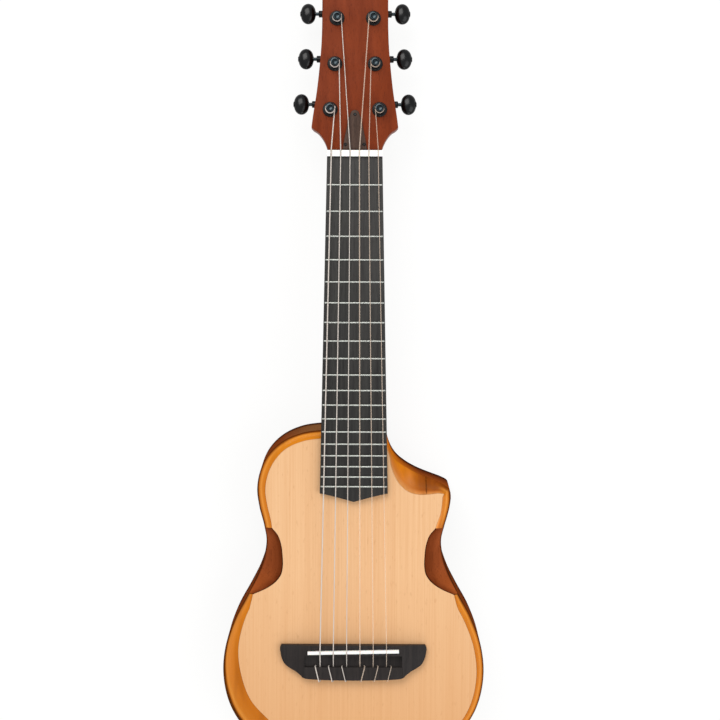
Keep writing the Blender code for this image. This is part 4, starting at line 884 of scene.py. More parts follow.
def curve_through(points: Sequence[Point], spacing: float, closed: bool = False) -> tuple[list[Vector], list[int]]:
    """A smooth curve through control points.

    Args:
        points: Control points of any dimension; the first two numbers are a place.
        spacing: The distance between samples.
        closed: True to close the curve.
    Returns:
        The samples, and the sample number of each control point.
    """
    values = [Vector(point) for point in points]
    count = len(values)
    spans = count if closed else count - 1
    chords = [math.hypot(*(values[(i + 1) % count] - values[i])[:2]) for i in range(spans)]

    def tangent(index: int) -> Vector:
        """The slope at a control point."""
        if not closed and index in (0, count - 1):
            near = 0 if index == 0 else count - 2
            return (values[near + 1] - values[near]) / chords[near]
        before, after = chords[index - 1], chords[index % spans]
        slope_before = (values[index] - values[index - 1]) / before
        slope_after = (values[(index + 1) % count] - values[index]) / after
        return (slope_before * after + slope_after * before) / (before + after)

    samples: list[Vector] = []
    marks: list[int] = []
    for index, chord in enumerate(chords):
        marks.append(len(samples))
        start, end = values[index], values[(index + 1) % count]
        lead, tail = tangent(index) * chord, tangent((index + 1) % count) * chord
        steps = max(1, round(chord / spacing))
        for step in range(steps):
            t = step / steps
            samples.append(start * (2 * t**3 - 3 * t**2 + 1) + lead * (t**3 - 2 * t**2 + t)
                           + end * (3 * t**2 - 2 * t**3) + tail * (t**3 - t**2))
    if not closed:
        marks.append(len(samples))
        samples.append(values[-1])
    return samples, marks


# Body

@dataclass(frozen=True)
class Station:
    """One place on the body's outline, with the edge that stands there."""

    point: Vector
    inward: Vector
    width: float
    drop: float
    bulge: float

    def pulled(self, step: Vector) -> Station:
        """The station moved along the outline."""
        return Station(self.point + step, self.inward, self.width, self.drop, self.bulge)

    def rim(self, steps: int) -> Profile:
        """The edge's upper surface as (distance inwards, height, share across) points."""
        base = BODY_DEPTH - self.drop
        points = []
        for step in range(steps + 1):
            share = step / steps
            angle = share * math.pi / 2
            inwards = share + self.bulge * (1 - math.cos(angle) - share)
            rise = share + self.bulge * (math.sin(angle) - share)
            points.append((self.width * inwards, base + self.drop * rise, share))
        return points


@dataclass
class Outline:
    """The body's outline and the edge along it, as the CAD model has them but with a straight seam."""

    half_upper: float = 0.0851
    half_waist: float = 0.0772
    half_lower: float = 0.1157
    roundness: float = 2.05
    tail_share: float = 0.3025
    spacing: float = 0.0022
    edge: float = 0.0064
    shoulder: float = 0.0072
    flare: float = 0.0062
    drop: float = 0.005
    rest: float = 0.0235
    rest_drop: float = 0.0135
    scoop: float = 0.0155
    scoop_drop: float = 0.0215
    port_depth: float = 0.0165
    port_drop: float = 0.018
    port_start: float = 0.2778
    port_share: float = 0.1902
    stations: list[Station] = field(default_factory=list)
    marks: dict[str, int] = field(default_factory=dict)
    ports: dict[Hand, list[Station]] = field(default_factory=dict)

    def __post_init__(self) -> None:
        """Samples the outline, then turns the ends of the edges to the ports."""
        rows = self.rows()
        samples, marks = curve_through([(row[1], along(BODY_TOP + row[2]), *row[3:]) for row in rows], self.spacing,
                                       closed=True)
        self.marks = {row[0]: mark for row, mark in zip(rows, marks) if row[0]}
        count = len(samples)
        for index, sample in enumerate(samples):
            ahead = Vector(samples[(index + 1) % count][:2]) - Vector(samples[index - 1][:2])
            ahead.normalize()
            self.stations.append(Station(Vector(sample[:2]), Vector((-ahead.y, ahead.x)), *sample[2:5]))
        for hand in Hand:
            self.ports[hand] = self.port_run(hand)
        ends = (("bass_port", Hand.BASS, 0), ("bass_flare", Hand.BASS, -1), ("treble_flare", Hand.TREBLE, 0),
                ("treble_port", Hand.TREBLE, -1))
        for name, hand, place in ends:
            self.turn_end(self.marks[name], self.ports[hand][place])
        self.straighten_seam()

    def turn_end(self, mark: int, port: Station) -> None:
        """Eases the stations near a port's end into the direction of its end face."""
        reach = 4
        for offset in range(-reach, reach + 1):
            share = 1 - abs(offset) / (reach + 1)
            index = (mark + offset) % len(self.stations)
            old = self.stations[index]
            inward = (old.inward.lerp(port.inward, share)).normalized()
            width = old.width + (port.width - old.width) * share
            self.stations[index] = Station(old.point, inward, width, old.drop, old.bulge)

    def straighten_seam(self) -> None:
        """Slides the edge's inner ends near the seam along the soundboard, so that the joint runs straight."""
        seam, reach = self.marks["seam"], 9
        near = range(seam - reach, seam + reach + 1)
        inner = {index: self.stations[index].point + self.stations[index].inward * self.stations[index].width
                 for index in near}
        goal = self.stations[seam].point.x
        before = next(index for index in near if (inner[index].x - goal) * (inner[index + 1].x - goal) <= 0)
        shift = before + (goal - inner[before].x) / (inner[before + 1].x - inner[before].x) - seam
        for index in near[1:-1]:
            place = index + shift * (1 - abs(index - seam) / reach)
            low = math.floor(place)
            old = self.stations[index]
            across = inner[low].lerp(inner[low + 1], place - low) - old.point
            self.stations[index] = Station(old.point, across.normalized(), across.length, old.drop, old.bulge)

    def tail_point(self, angle: float, side: int) -> tuple[float, float]:
        """A place on the rounded lower bout: 0 is its widest, 90 degrees the tail's centre."""
        power = 2 / self.roundness
        depth = BODY_LENGTH * self.tail_share
        return (side * self.half_lower * math.cos(angle) ** power,
                BODY_LENGTH - depth + depth * math.sin(angle) ** power)

    def rows(self) -> list[tuple[str, float, float, float, float, float]]:
        """Name, X, distance from the body's upper edge, and the edge's width, drop and bulge."""
        up, waist, low, length = self.half_upper, self.half_waist, self.half_lower, BODY_LENGTH
        edge, shoulder, flare, drop = self.edge, self.shoulder, self.flare, self.drop
        rest, rest_drop, scoop, scoop_drop = self.rest, self.rest_drop, self.scoop, self.scoop_drop
        rows = [
            ("neck", 0.0, 0.0, edge, drop, 1),
            ("bass_heel", -0.329 * up, 0.001 * length, edge, drop, 1),
            ("", -0.552 * up, 0.0106 * length, edge, drop, 1),
            ("", -0.758 * up, 0.0373 * length, edge, drop, 1),
            ("", -0.899 * up, 0.0769 * length, shoulder, drop, 1),
            ("", -0.978 * up, 0.1262 * length, shoulder, drop, 1),
            ("", -1.000 * up, 0.1712 * length, shoulder, drop, 1),
            ("", -0.978 * up, 0.2179 * length, shoulder, drop, 1),
            ("bass_port", -1.018 * waist, self.port_start * length, shoulder, drop, 1),
            ("", -1.000 * waist, 0.3145 * length, shoulder, drop, 1),
            ("", -1.023 * waist, 0.3614 * length, shoulder, drop, 1),
            ("", -0.7286 * low, 0.4152 * length, flare, drop, 1),
            ("bass_flare", -0.799 * low, 0.4680 * length, flare, 1.3 * drop, 1),
            ("", -0.8998 * low, 0.5372 * length, 1.3 * flare, 1.3 * drop, 0.9),
            ("", -0.9771 * low, 0.6186 * length, 0.49 * rest, 0.55 * rest_drop, 0.8),
            ("", -1.000 * low, (1 - self.tail_share) * length, 0.68 * rest, 0.7 * rest_drop, 0.7),
        ]
        armrest = ((20, 0.86, 0.87), (38, 1.0, 1.0), (56, 0.9, 0.9), (73, 0.58, 0.65))
        for degrees, width_share, drop_share in armrest:
            place = self.tail_point(math.radians(degrees), -1)
            rows.append(("", *place, width_share * rest, drop_share * rest_drop, 0.6))
        rows.append(("tail", 0.0, length, 1.25 * edge, 1.2 * drop, 0.9))
        for degrees in (73, 56, 38, 20):
            rows.append(("", *self.tail_point(math.radians(degrees), 1), edge, drop, 1))
        rows += [
            ("", 1.000 * low, (1 - self.tail_share) * length, edge, drop, 1),
            ("", 0.9771 * low, 0.6186 * length, edge, drop, 1),
            ("", 0.8998 * low, 0.5372 * length, edge, 1.1 * drop, 1),
            ("treble_flare", 0.799 * low, 0.4680 * length, flare, 1.3 * drop, 1),
            ("", 0.7286 * low, 0.4152 * length, flare, drop, 1),
            ("", 1.023 * waist, 0.3614 * length, shoulder, drop, 1),
            ("", 1.004 * waist, 0.3145 * length, shoulder, drop, 1),
            ("treble_port", 1.031 * waist, self.port_start * length, edge, drop, 1),
            ("", 0.971 * up, 0.2430 * length, edge, drop, 1),
            ("", 0.998 * up, 0.2092 * length, shoulder, drop, 1),
            ("", 1.005 * up, 0.1857 * length, shoulder, 1.2 * drop, 0.8),
            ("", 0.993 * up, 0.1703 * length, 0.78 * shoulder, 0.42 * scoop_drop, 0.4),
            ("", 0.928 * up, 0.1590 * length, 0.40 * scoop, 0.62 * scoop_drop, 0.0),
            ("", 0.846 * up, 0.1503 * length, 0.62 * scoop, 0.88 * scoop_drop, -0.3),
            ("seam", 0.752 * up, 0.1407 * length, 0.88 * scoop, scoop_drop, -0.4),
            ("", 0.650 * up, 0.1287 * length, scoop, scoop_drop, -0.4),
            ("", 0.545 * up, 0.1123 * length, 0.83 * scoop, 0.86 * scoop_drop, -0.3),
            ("", 0.450 * up, 0.0911 * length, 0.44 * scoop, 0.6 * scoop_drop, -0.1),
            ("", 0.3925 * up, 0.0686 * length, 0.16 * scoop, 0.35 * scoop_drop, 0.3),
            ("treble_heel", 0.355 * up, 0.0425 * length, 0.30 * edge, 0.6 * drop, 0.8),
            ("", 0.335 * up, 0.0180 * length, 0.50 * edge, 0.8 * drop, 1),
            ("", 0.302 * up, 0.0045 * length, 0.80 * edge, drop, 1),
            ("", 0.262 * up, 0.0003 * length, edge, drop, 1),
            ("", 0.205 * up, 0.0002 * length, edge, drop, 1),
        ]
        return rows

    def run(self, start: str, end: str) -> list[Station]:
        """The stations from one named place to another, drawn in half a glue line at each end."""
        first, last = self.marks[start], self.marks[end]
        last += len(self.stations) if last <= first else 0
        picked = [self.stations[index % len(self.stations)] for index in range(first, last + 1)]
        for place, beside in ((0, 1), (-1, -2)):
            step = (picked[beside].point - picked[place].point).normalized() * HAIR / 2
            picked[place] = picked[place].pulled(step)
        return picked

    def port_run(self, hand: Hand) -> list[Station]:
        """The stations of one sound port, each aimed at its place on the port's inner arc."""
        names = ("bass_port", "bass_flare") if hand is Hand.BASS else ("treble_flare", "treble_port")
        run = self.run(*names)
        half, depth = self.half_waist, self.port_depth
        top, length = BODY_TOP + self.port_start * BODY_LENGTH, self.port_share * BODY_LENGTH
        drawn = ((half - 0.0052, 0.004), (half - 0.1 * depth - 0.0084, 0.10), (half - 0.8 * depth, 0.243),
                 (half - 0.88 * depth, 0.42), (half - 0.89 * depth, 0.585), (half - 0.82 * depth, 0.69),
                 (half - 0.61 * depth, 0.785), (half - 0.18 * depth, 0.885), (half + 0.26 * depth, 0.95),
                 (half + 0.0116, 1.0))
        controls = [(hand.value * x, along(top + share * length)) for x, share in drawn]
        if hand is Hand.TREBLE:
            controls.reverse()
        arc, _ = curve_through(controls, self.spacing / 8)
        lengths = [0.0]
        for first, second in zip(arc, arc[1:]):
            lengths.append(lengths[-1] + (second - first).length)
        aimed = []
        for index, station in enumerate(run):
            share = index / (len(run) - 1)
            place = next(number for number, value in enumerate(lengths) if value >= lengths[-1] * share - 1e-9)
            across = arc[place] - station.point
            lip = self.drop + (self.port_drop - self.drop) * math.sin(math.pi * share)
            aimed.append(Station(station.point, across.normalized(), across.length, lip, -0.35))
        return aimed

    def board_edge(self) -> list[Vector]:
        """The soundboard's outline, a hair inside the edges and the port blocks."""
        parts = (self.run("neck", "bass_port"), self.ports[Hand.BASS][1:-1], self.run("bass_flare", "tail"),
                 self.run("tail", "treble_flare")[1:], self.ports[Hand.TREBLE][1:-1],
                 self.run("treble_port", "neck")[:-1])
        line = [station.point + station.inward * station.width for part in parts for station in part]
        result = []
        for index, point in enumerate(line):
            ahead = (line[(index + 1) % len(line)] - line[index - 1]).normalized()
            result.append(point + Vector((-ahead.y, ahead.x)) * HAIR / 2)
        return result


@dataclass
class Body:
    """The body's outside: soundboard, edges, port blocks, sides and back."""

    bench: Bench
    outline: Outline = field(default_factory=Outline)
    board: float = 0.0025
    back: float = 0.0025
    side: float = 0.002
    foot: float = 0.003
    lip: float = 0.004
    opening: float = 0.0135
    ledge: float = 0.004
    steps: int = 9

    def swept(self, run: Sequence[Station],
              section: Callable[[Station, float], Profile]) -> Shape:
        """A solid along stations, from (distance inwards, height, share across) points."""
        sections, across, ahead = [], [], []
        for index, station in enumerate(run):
            points = section(station, index / (len(run) - 1))
            sections.append([(*(station.point + station.inward * inwards), height) for inwards, height, _ in points])
            across.append([share for _, _, share in points])
            ahead.append([-station.inward.y] * len(points))
        return Shape.loft(sections, marks={"across": across, "ahead": ahead})

    def edge_section(self, station: Station, _share: float) -> Profile:
        """The section of an edge over a lining."""
        foot = BODY_DEPTH - station.drop - self.foot
        return [(0.0, foot, 0.0), *station.rim(self.steps), (station.width, foot, 1.0)]

    def ledged_section(self, station: Station, _share: float) -> Profile:
        """The section of an edge with its own ledge under the soundboard."""
        foot = BODY_DEPTH - station.drop - self.foot
        seat = BODY_DEPTH - self.board - HAIR
        ledge = 1.4 * station.width
        return [(0.0, foot, 0.0), *station.rim(self.steps), (station.width, seat, 1.0), (ledge, seat, 1.0),
                (ledge, min(foot, seat - self.foot), 1.0), (self.side + HAIR, foot, 0.0)]

    def port_section(self, station: Station, _share: float) -> Profile:
        """The section of a port block: a hollow from the soundboard down to its lip."""
        lip = BODY_DEPTH - station.drop
        seat = BODY_DEPTH - self.board - HAIR
        reach = station.width
        return [(0.0, lip - self.lip, 0.0), *station.rim(self.steps), (reach, seat, 1.0),
                (reach + self.ledge, seat, 1.0), (reach + self.ledge, seat - self.lip, 1.0),
                (0.55 * reach, lip - 0.6 * self.lip, 0.5)]

    def side_heights(self) -> dict[tuple[float, float], float]:
        """The top of the side wall at each station of a sound port."""
        heights = {}
        for port in self.outline.ports.values():
            for index, station in enumerate(port):
                share = index / (len(port) - 1)
                opening = self.opening * max(0.0, math.sin(math.pi * share)) ** 0.35
                heights[tuple(station.point)] = BODY_DEPTH - station.drop - self.lip - HAIR - opening
        return heights

    def build_sides(self) -> None:
        """The two bent side walls, with the sound opening under each port block."""
        heights = self.side_heights()
        for name, start, end in (("bass", "neck", "tail"), ("treble", "tail", "neck")):

            def section(station: Station, _share: float) -> Profile:
                """The wall's section, lower under a sound port."""
                top = BODY_DEPTH - station.drop - self.foot - HAIR
                near = [height for point, height in heights.items() if math.dist(point, station.point) < 2e-4]
                top = min(top, near[0]) if near else top
                low = self.back + HAIR
                return [(0.0, low, 0.0), (0.0, top, 0.2), (self.side, top, 0.2), (self.side, low, 0.2)]

            shape = self.swept(self.outline.run(start, end), section)
            self.bench.add(f"rib_{name}", shape, "mahogany", [f"side_{name}"])

    def build(self) -> None:
        """Builds every outer piece of the body."""
        edge = [tuple(point) for point in self.outline.board_edge()]
        self.bench.add("spruce_top", Shape.plate(edge, BODY_DEPTH - self.board, BODY_DEPTH), "spruce",
                       ["soundboard"])
        outline = [tuple(station.point) for station in self.outline.stations]
        self.bench.add("bent_back", Shape.plate(outline, 0.0, self.back, 0.0006), "mahogany", ["back_plate"])
        self.build_sides()
        for name, start, end, section, finish, node in (
                ("shoulder_band", "neck", "bass_port", self.edge_section, "amber", "edge_bass_upper"),
                ("armrest_band", "bass_flare", "treble_flare", self.edge_section, "amber", "edge_lower"),
                ("horn_band", "treble_port", "seam", self.ledged_section, "scoop", "edge_horn"),
                ("scoop_band", "seam", "neck", self.ledged_section, "scoop", "edge_cutaway")):
            self.bench.add(name, self.swept(self.outline.run(start, end), section), finish, [node])
        for hand in Hand:
            side = hand.name.lower()
            shape = self.swept(self.outline.ports[hand], self.port_section)
            self.bench.add(f"port_scoop_{side}", shape, "port", [f"port_block_{side}"])


# Neck and head

def head_frame() -> Matrix:
    """The head's own frame: X across, Y along it from the nut's back, Z out of its face."""
    return Matrix.Translation((0, NUT_Y + NUT_LENGTH, BODY_DEPTH + HEAD_STEP)) @ Matrix.Rotation(-HEAD_ANGLE, 4, "X")


def board_half(distance: float) -> float:
    """Half of the fingerboard's width at a distance from the nut."""
    return NUT_WIDTH / 2 + (BOARD_END_WIDTH - NUT_WIDTH) / 2 * distance / BOARD_LENGTH


@dataclass
class Neck:
    """Neck, heel and head in one, with the fingerboard, frets and truss rod cover."""

    bench: Bench
    depth: float = 0.0135
    depth_heel: float = 0.016
    heel_start: float = 0.197
    heel_cap: float = 0.024
    cap_height: float = 0.004
    head_length: float = 0.147
    head_top: float = 0.0577
    head_ear: float = 0.0752
    head_round: float = 0.0008
    bore_radius: float = BUSHING_RADIUS + HAIR
    cover_length: float = 0.0345
    cover_base: float = 0.0212
    cover_thickness: float = 0.002
    board_point: float = 0.0075
    fret_width: float = 0.0017
    fret_inset: float = 0.0004

    def section(self, distance: float, depth: float, half: float, heel: float,
                top: float = BODY_DEPTH) -> list[Point]:
        """One cross section; heel goes from 0, a D shape, to 1, the heel's taper."""
        steps = 14
        right = []
        for step in range(steps + 1):
            share = step / steps
            angle = share * math.pi / 2
            level = min(1.0, share / 0.8)
            round_x = half * math.cos(angle) ** 0.8 if step < steps else 0.0
            round_z = depth * math.sin(angle) ** 0.8
            taper_x = half + (self.heel_cap / 2 - half) * level ** 0.7 if share < 0.8 else \
                self.heel_cap / 2 * (1 - share) / 0.2
            right.append((round_x + (taper_x - round_x) * heel, top - round_z - (depth * level - round_z) * heel))
        return [(x, along(distance), z) for x, z in mirrored(right)]

    def head_outline(self) -> list[Point]:
        """The head's outline in its own frame."""
        ear, top, tip = self.head_ear / 2, self.head_top / 2, self.head_length
        corner, _ = curve_through([(NUT_WIDTH / 2 - 0.0006, 0.0), (0.667 * ear, 0.0051), (0.738 * ear, 0.0102),
                                   (0.852 * ear, 0.0154), (0.957 * ear, 0.0181), (ear, 0.0199)], 0.0009)
        edge, _ = curve_through([(ear, 0.0199), (0.978 * ear, 0.0265), (0.5 * ear + 0.5 * top - 0.0002, 0.052),
                                 (top + 0.0025, 0.067), (top + 0.0004, 0.093), (top, 0.104),
                                 (top - 0.0002, tip - 0.012)], 0.003)
        crown, _ = curve_through([(top - 0.0002, tip - 0.012), (top - 0.0018, tip - 0.0055),
                                  (0.8 * top, tip - 0.0022), (0.4 * top, tip - 0.0005), (0.0, tip)], 0.0012)
        return mirrored(corner + edge[1:] + crown[1:])

    def build_wood(self) -> None:
        """The neck's loft united with the head's plate."""
        sections = [self.section(-0.019, 0.0105, 0.0195, 0.0, BODY_DEPTH - 0.0022),
                    self.section(-0.0125, 0.012, 0.0215, 0.0, BODY_DEPTH - 0.0011),
                    self.section(-0.006, self.depth, 0.0235, 0.0)]
        for step in range(13):
            share = step / 12
            distance = self.heel_start * share
            sections.append(self.section(distance, self.depth + (self.depth_heel - self.depth) * share,
                                         board_half(distance), 0.0))
        full, end = BODY_DEPTH - self.cap_height, BODY_TOP - HAIR
        for step in range(1, 25):
            angle = step / 24 * math.pi / 2
            distance = self.heel_start + (end - self.heel_start) * math.sin(angle)
            share = 1 - math.cos(angle)
            sections.append(self.section(distance, self.depth_heel + (full - self.depth_heel) * share,
                                         board_half(distance), share))
        bore = Shape.rod(self.bore_radius, -HEAD_THICKNESS - PAST, PAST)
        bores = [bore.moved(Matrix.Translation((x, y, 0))) for x, y in Tuner.places()]
        head = Shape.plate(self.head_outline(), -HEAD_THICKNESS, 0.0, self.head_round).cut(*bores).moved(head_frame())
        self.bench.add("neck_and_head", Shape.loft(sections).grown(head), "neck", ["neck"], smooth=28.0)

    def build_board(self) -> None:
        """The fingerboard, its pointed end and its frets."""
        half, point = BOARD_END_WIDTH / 2, self.board_point
        outline = [(-NUT_WIDTH / 2, along(HAIR)), (-half, along(BOARD_LENGTH))]
        for step in range(1, 40):
            x = -half + half * step / 20
            outline.append((x, along(BOARD_LENGTH + point * (1 - abs(x) / half) ** 1.15)))
        outline += [(half, along(BOARD_LENGTH)), (NUT_WIDTH / 2, along(HAIR))]
        board = Shape.plate(outline, BOARD_BASE, BOARD_TOP, 0.0003, 2)
        self.bench.add("fretboard", board, "ebony", ["fingerboard"])
        wires = []
        for number in range(1, FRET_COUNT + 1):
            distance = SCALE_LENGTH * (1 - 2 ** (-number / 12))
            reach = board_half(distance) - self.fret_inset
            sections = []
            for x, size in ((-reach, 0.35), (-reach + 0.0008, 1.0), (reach - 0.0008, 1.0), (reach, 0.35)):
                ring = []
                for step in range(9):
                    angle = math.pi * step / 8
                    ring.append((x, along(distance) + self.fret_width / 2 * math.cos(angle) * (0.6 + 0.4 * size),
                                 BOARD_TOP - 0.0001 + 0.0011 * math.sin(angle) * size))
                sections.append(ring)
            wires.append(Shape.loft(sections))
        frets = self.bench.add("frets", wires[0].with_all(wires[1:]), "fret_wire", [])
        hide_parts("fingerboard")

    def build_cover(self) -> None:
        """The truss rod cover and its three screws."""
        half, length = self.cover_base / 2, self.cover_length
        right, _ = curve_through([(half, HAIR), (0.9 * half, 0.2 * length), (0.7 * half, 0.5 * length),
                                  (0.42 * half, 0.85 * length), (0.25 * half, 0.97 * length), (0.0, length)], 0.001)
        cover = Shape.plate(mirrored(right), HAIR, HAIR + self.cover_thickness, 0.0004)
        self.bench.add("rod_cover", cover.moved(head_frame()), "rosewood", ["truss_rod_cover"])
        top = HAIR + self.cover_thickness
        for number, (x, y) in enumerate(((0.0, length - 0.004), (0.38 * self.cover_base, 0.0042),
                                         (-0.38 * self.cover_base, 0.0042)), 1):
            head = Shape.turned([(0.0013, top - 0.0004), (0.0014, top + 0.0003), (0.0011, top + 0.0008)], 32)
            slots = [Shape.box((-0.0003, -0.001, top + 0.0004), (0.0003, 0.001, top + 0.002)),
                     Shape.box((-0.001, -0.0003, top + 0.0004), (0.001, 0.0003, top + 0.002))]
            screw = head.cut(*slots).moved(head_frame() @ Matrix.Translation((x, y, 0)))
            made = self.bench.add(f"cover_screw_{number}", screw, "knob_black", [])
            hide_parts("truss_rod_cover")

    def build(self) -> None:
        """Builds the neck's pieces."""
        self.build_wood()
        self.build_board()
        self.build_cover()


# Bridge and strings

@dataclass
class Bridge:
    """The tie bridge: wings, recess, tie block and its pale saddle."""

    bench: Bench
    width: float = 0.1288
    length: float = 0.0315
    front: float = 0.4290
    height: float = 0.008
    wing: float = 0.0045
    tie_width: float = 0.086
    tie_height: float = 0.0072
    recess_front: float = 0.4383
    recess_length: float = 0.0103
    recess_floor: float = 0.003
    saddle_length: float = 0.0804
    saddle_thick: float = 0.0031
    saddle_high: float = 0.0108
    saddle_place: float = 0.4347
    saddle_slant: float = math.radians(1.2)
    hole_level: float = 0.0045
    base: float = BODY_DEPTH + HAIR

    def outline(self) -> list[Point]:
        """The bridge's outline, in the row frame."""
        half, front = self.width / 2, self.front
        end, _ = curve_through([(0.985 * half, 0.0), (half, 0.055), (0.997 * half, 0.22), (0.972 * half, 0.42),
                                (0.925 * half, 0.57), (0.86 * half, 0.665), (0.79 * half, 0.745)], 0.02)
        foot, _ = curve_through([(0.79 * half, 0.745), (0.72 * half, 0.86), (0.675 * half, 0.93), (0.61 * half, 0.962),
                                 (0.3 * half, 0.992), (0.0, 1.0)], 0.02)
        right = [(0.0, along(front))] + [(x, along(front + share * self.length)) for x, share in end + foot[1:]]
        return mirrored(right)[:-1]

    def build_wood(self) -> None:
        """The bridge's body, cut from its plan and its front view."""
        mid, half, high = self.tie_width / 2, self.width / 2, self.base + self.height
        plan = Shape.plate(self.outline(), self.base, high + PAST)
        ridge = [(mid, high), (mid + 0.0035, high - 0.0016)]
        for step in range(1, 9):
            share = step / 8
            ridge.append((mid + 0.0035 + (half + 0.002 - mid - 0.0035) * share,
                          high - 0.0016 - (high - 0.0016 - self.base - self.wing) * share ** 0.9))
        ridge.append((half + 0.002, self.base - 0.001))
        profile = ridge + [(-x, z) for x, z in reversed(ridge)]
        shape = Shape.loft([[(x, along(distance), z) for x, z in profile]
                            for distance in (self.front + self.length + 0.002, self.front - 0.002)])
        wood = plan.combined("INTERSECT", shape)
        recess_back = self.recess_front + self.recess_length
        wood = wood.cut(
            Shape.box((-mid, along(recess_back), self.base + self.recess_floor),
                      (mid, along(self.recess_front), high + 0.002)),
            Shape.box((-mid - 0.0005, along(self.front + self.length + 0.003), self.base + self.tie_height),
                      (mid + 0.0005, along(recess_back - 0.0005), high + 0.002)))
        slot = Shape.box((-self.saddle_length / 2 - HAIR, -self.saddle_thick / 2 - HAIR, self.height - 0.005),
                         (self.saddle_length / 2 + HAIR, self.saddle_thick / 2 + HAIR, self.height + 0.002))
        wood = wood.cut(slot.moved(self.saddle_frame())).softened(0.00045)
        for number in SIX:
            hole = Shape.rod(0.0009, -2 * PAST, self.length, 16)
            place = Vector((Strings.x_at(number, SPREAD_SADDLE), along(self.front + self.length + 0.003),
                            self.base + self.hole_level))
            wood = wood.cut(hole.moved(Matrix.Translation(place) @ Matrix.Rotation(-math.pi / 2, 4, "X")
                                       @ Matrix.Scale(0.58, 4, (0, 0, 1))))
        self.bench.add("tie_bridge", wood, "bridge", ["bridge"], smooth=30.0)

    def saddle_frame(self) -> Matrix:
        """The saddle's frame: X along it, Z up from the bridge's base."""
        return (Matrix.Translation((0, along(self.saddle_place), self.base))
                @ Matrix.Rotation(self.saddle_slant, 4, "Z"))

    def build_saddle(self) -> None:
        """The saddle with its rounded crown."""
        wide, low, top = self.saddle_thick / 2, self.height - 0.005 + HAIR, self.saddle_high
        profile = [(-wide, low), (wide, low), (wide, top - 0.0012)]
        for step in range(1, 8):
            angle = math.pi * step / 8
            profile.append((wide * math.cos(angle), top - 0.0012 + 0.0012 * math.sin(angle)))
        profile.append((-wide, top - 0.0012))
        half = self.saddle_length / 2
        shape = Shape.loft([[(x, y, z) for y, z in profile] for x in (-half, -half + 0.0004, half - 0.0004, half)])
        self.bench.add("bone_saddle", shape.moved(self.saddle_frame()), "bone", ["saddle"])

    def build(self) -> None:
        """Builds the bridge and its saddle."""
        self.build_wood()
        self.build_saddle()


@dataclass
class Strings:
    """The six strings, tied at the bridge and wound on their posts."""

    bench: Bench
    bridge: Bridge
    diameters: tuple[float, ...] = (0.00071, 0.00082, 0.00102, 0.00076, 0.00091, 0.0011)
    spread_nut: float = 0.0406
    over_fret: float = 0.0009
    tie_reach: float = 0.0042
    tie_back: float = 0.0011
    tail: float = 0.002
    turns: int = 2
    turn_points: int = 48

    @staticmethod
    def x_at(number: int, spread: float) -> float:
        """X of a string in a row of this spread; string 0 is the treble side."""
        return spread / 2 - spread * number / 5

    def tie(self, number: int) -> list[Point]:
        """The string's knot over the tie block and its way through the hole."""
        bridge, diameter = self.bridge, self.diameters[number]
        lean = 1 if number < PLAIN_STRINGS else -1
        x = self.x_at(number, SPREAD_SADDLE)
        hole = bridge.base + bridge.hole_level
        over = bridge.base + bridge.tie_height + diameter / 2 + HAIR
        front = along(bridge.recess_front + bridge.recess_length)
        back = along(bridge.front + bridge.length)
        off = diameter / 2 + 0.0006
        front_x, back_x = x + lean * self.tie_reach, x + lean * self.tie_back
        return [(front_x - lean * 0.0004, front + off, hole + 0.0003), (front_x, front + off, over - 0.0012),
                (front_x, front + 0.5 * off, over - 0.0003), (front_x - lean * 0.0003, front - 0.0008, over),
                (back_x + lean * 0.0003, back + 0.0008, over), (back_x, back - 0.4 * off, over - 0.0003),
                (back_x, back - off, over - 0.0012), (back_x - lean * 0.0006, back - off - 0.0001, hole + 0.0008),
                (x, back - 0.7 * off, hole + 0.0001), (x, back + 0.001, hole), (x, front + 0.0006, hole)]

    def route(self, number: int) -> list[Point]:
        """The whole way of a string."""
        bridge, diameter = self.bridge, self.diameters[number]
        x = self.x_at(number, SPREAD_SADDLE)
        saddle = along(bridge.saddle_place) + math.sin(bridge.saddle_slant) * x
        crest = bridge.base + bridge.saddle_high + diameter / 2 + HAIR
        points: list[Point] = self.tie(number)
        points += [(x, saddle - 0.0019, crest - 0.0006), (x, saddle - 0.0006, crest), (x, saddle + 0.0008, crest)]
        nut_x, over = self.x_at(number, self.spread_nut), FRET_TOP + self.over_fret
        points.append((nut_x, NUT_Y, over))
        frame = head_frame()
        centre = Tuner.places()[number]
        radius = POST_RADIUS + HAIR + diameter / 2
        start = frame.inverted() @ Vector((nut_x, NUT_Y + NUT_LENGTH, over - 0.0007))
        away = start.to_2d() - Vector(centre)
        sense = 1 if centre[0] < 0 else -1
        angle = math.atan2(away.y, away.x) + sense * math.acos(radius / away.length)
        points.append(frame @ start)
        for index in range(self.turns * self.turn_points + 1):
            share = index / self.turn_points
            turn = angle + sense * 2 * math.pi * share
            points.append(frame @ Vector((centre[0] + radius * math.cos(turn), centre[1] + radius * math.sin(turn),
                                          WINDING_LEVEL + WINDING_PITCH * share)))
        points.append(points[-1] + (points[-1] - points[-2]).normalized() * self.tail)
        return points

    def build(self) -> None:
        """Builds the strings as smooth tubes."""
        for number in SIX:
            node = f"string_{number + 1}"
            stuff = "nylon" if number < PLAIN_STRINGS else "wound"
            curve = bpy.data.curves.new(node, "CURVE")
            curve.dimensions = "3D"
            curve.bevel_depth = self.diameters[number] / 2
            curve.bevel_resolution = 4
            curve.use_fill_caps = True
            points = self.route(number)
            spline = curve.splines.new("POLY")
            spline.points.add(len(points) - 1)
            for knot, point in zip(spline.points, points):
                knot.co = (*point, 1.0)
            spline.use_smooth = True
            thing = placed(f"{stuff}_{node}", curve)
            self.bench.settle(thing, stuff, [node], "instrument")


# Tuning machines

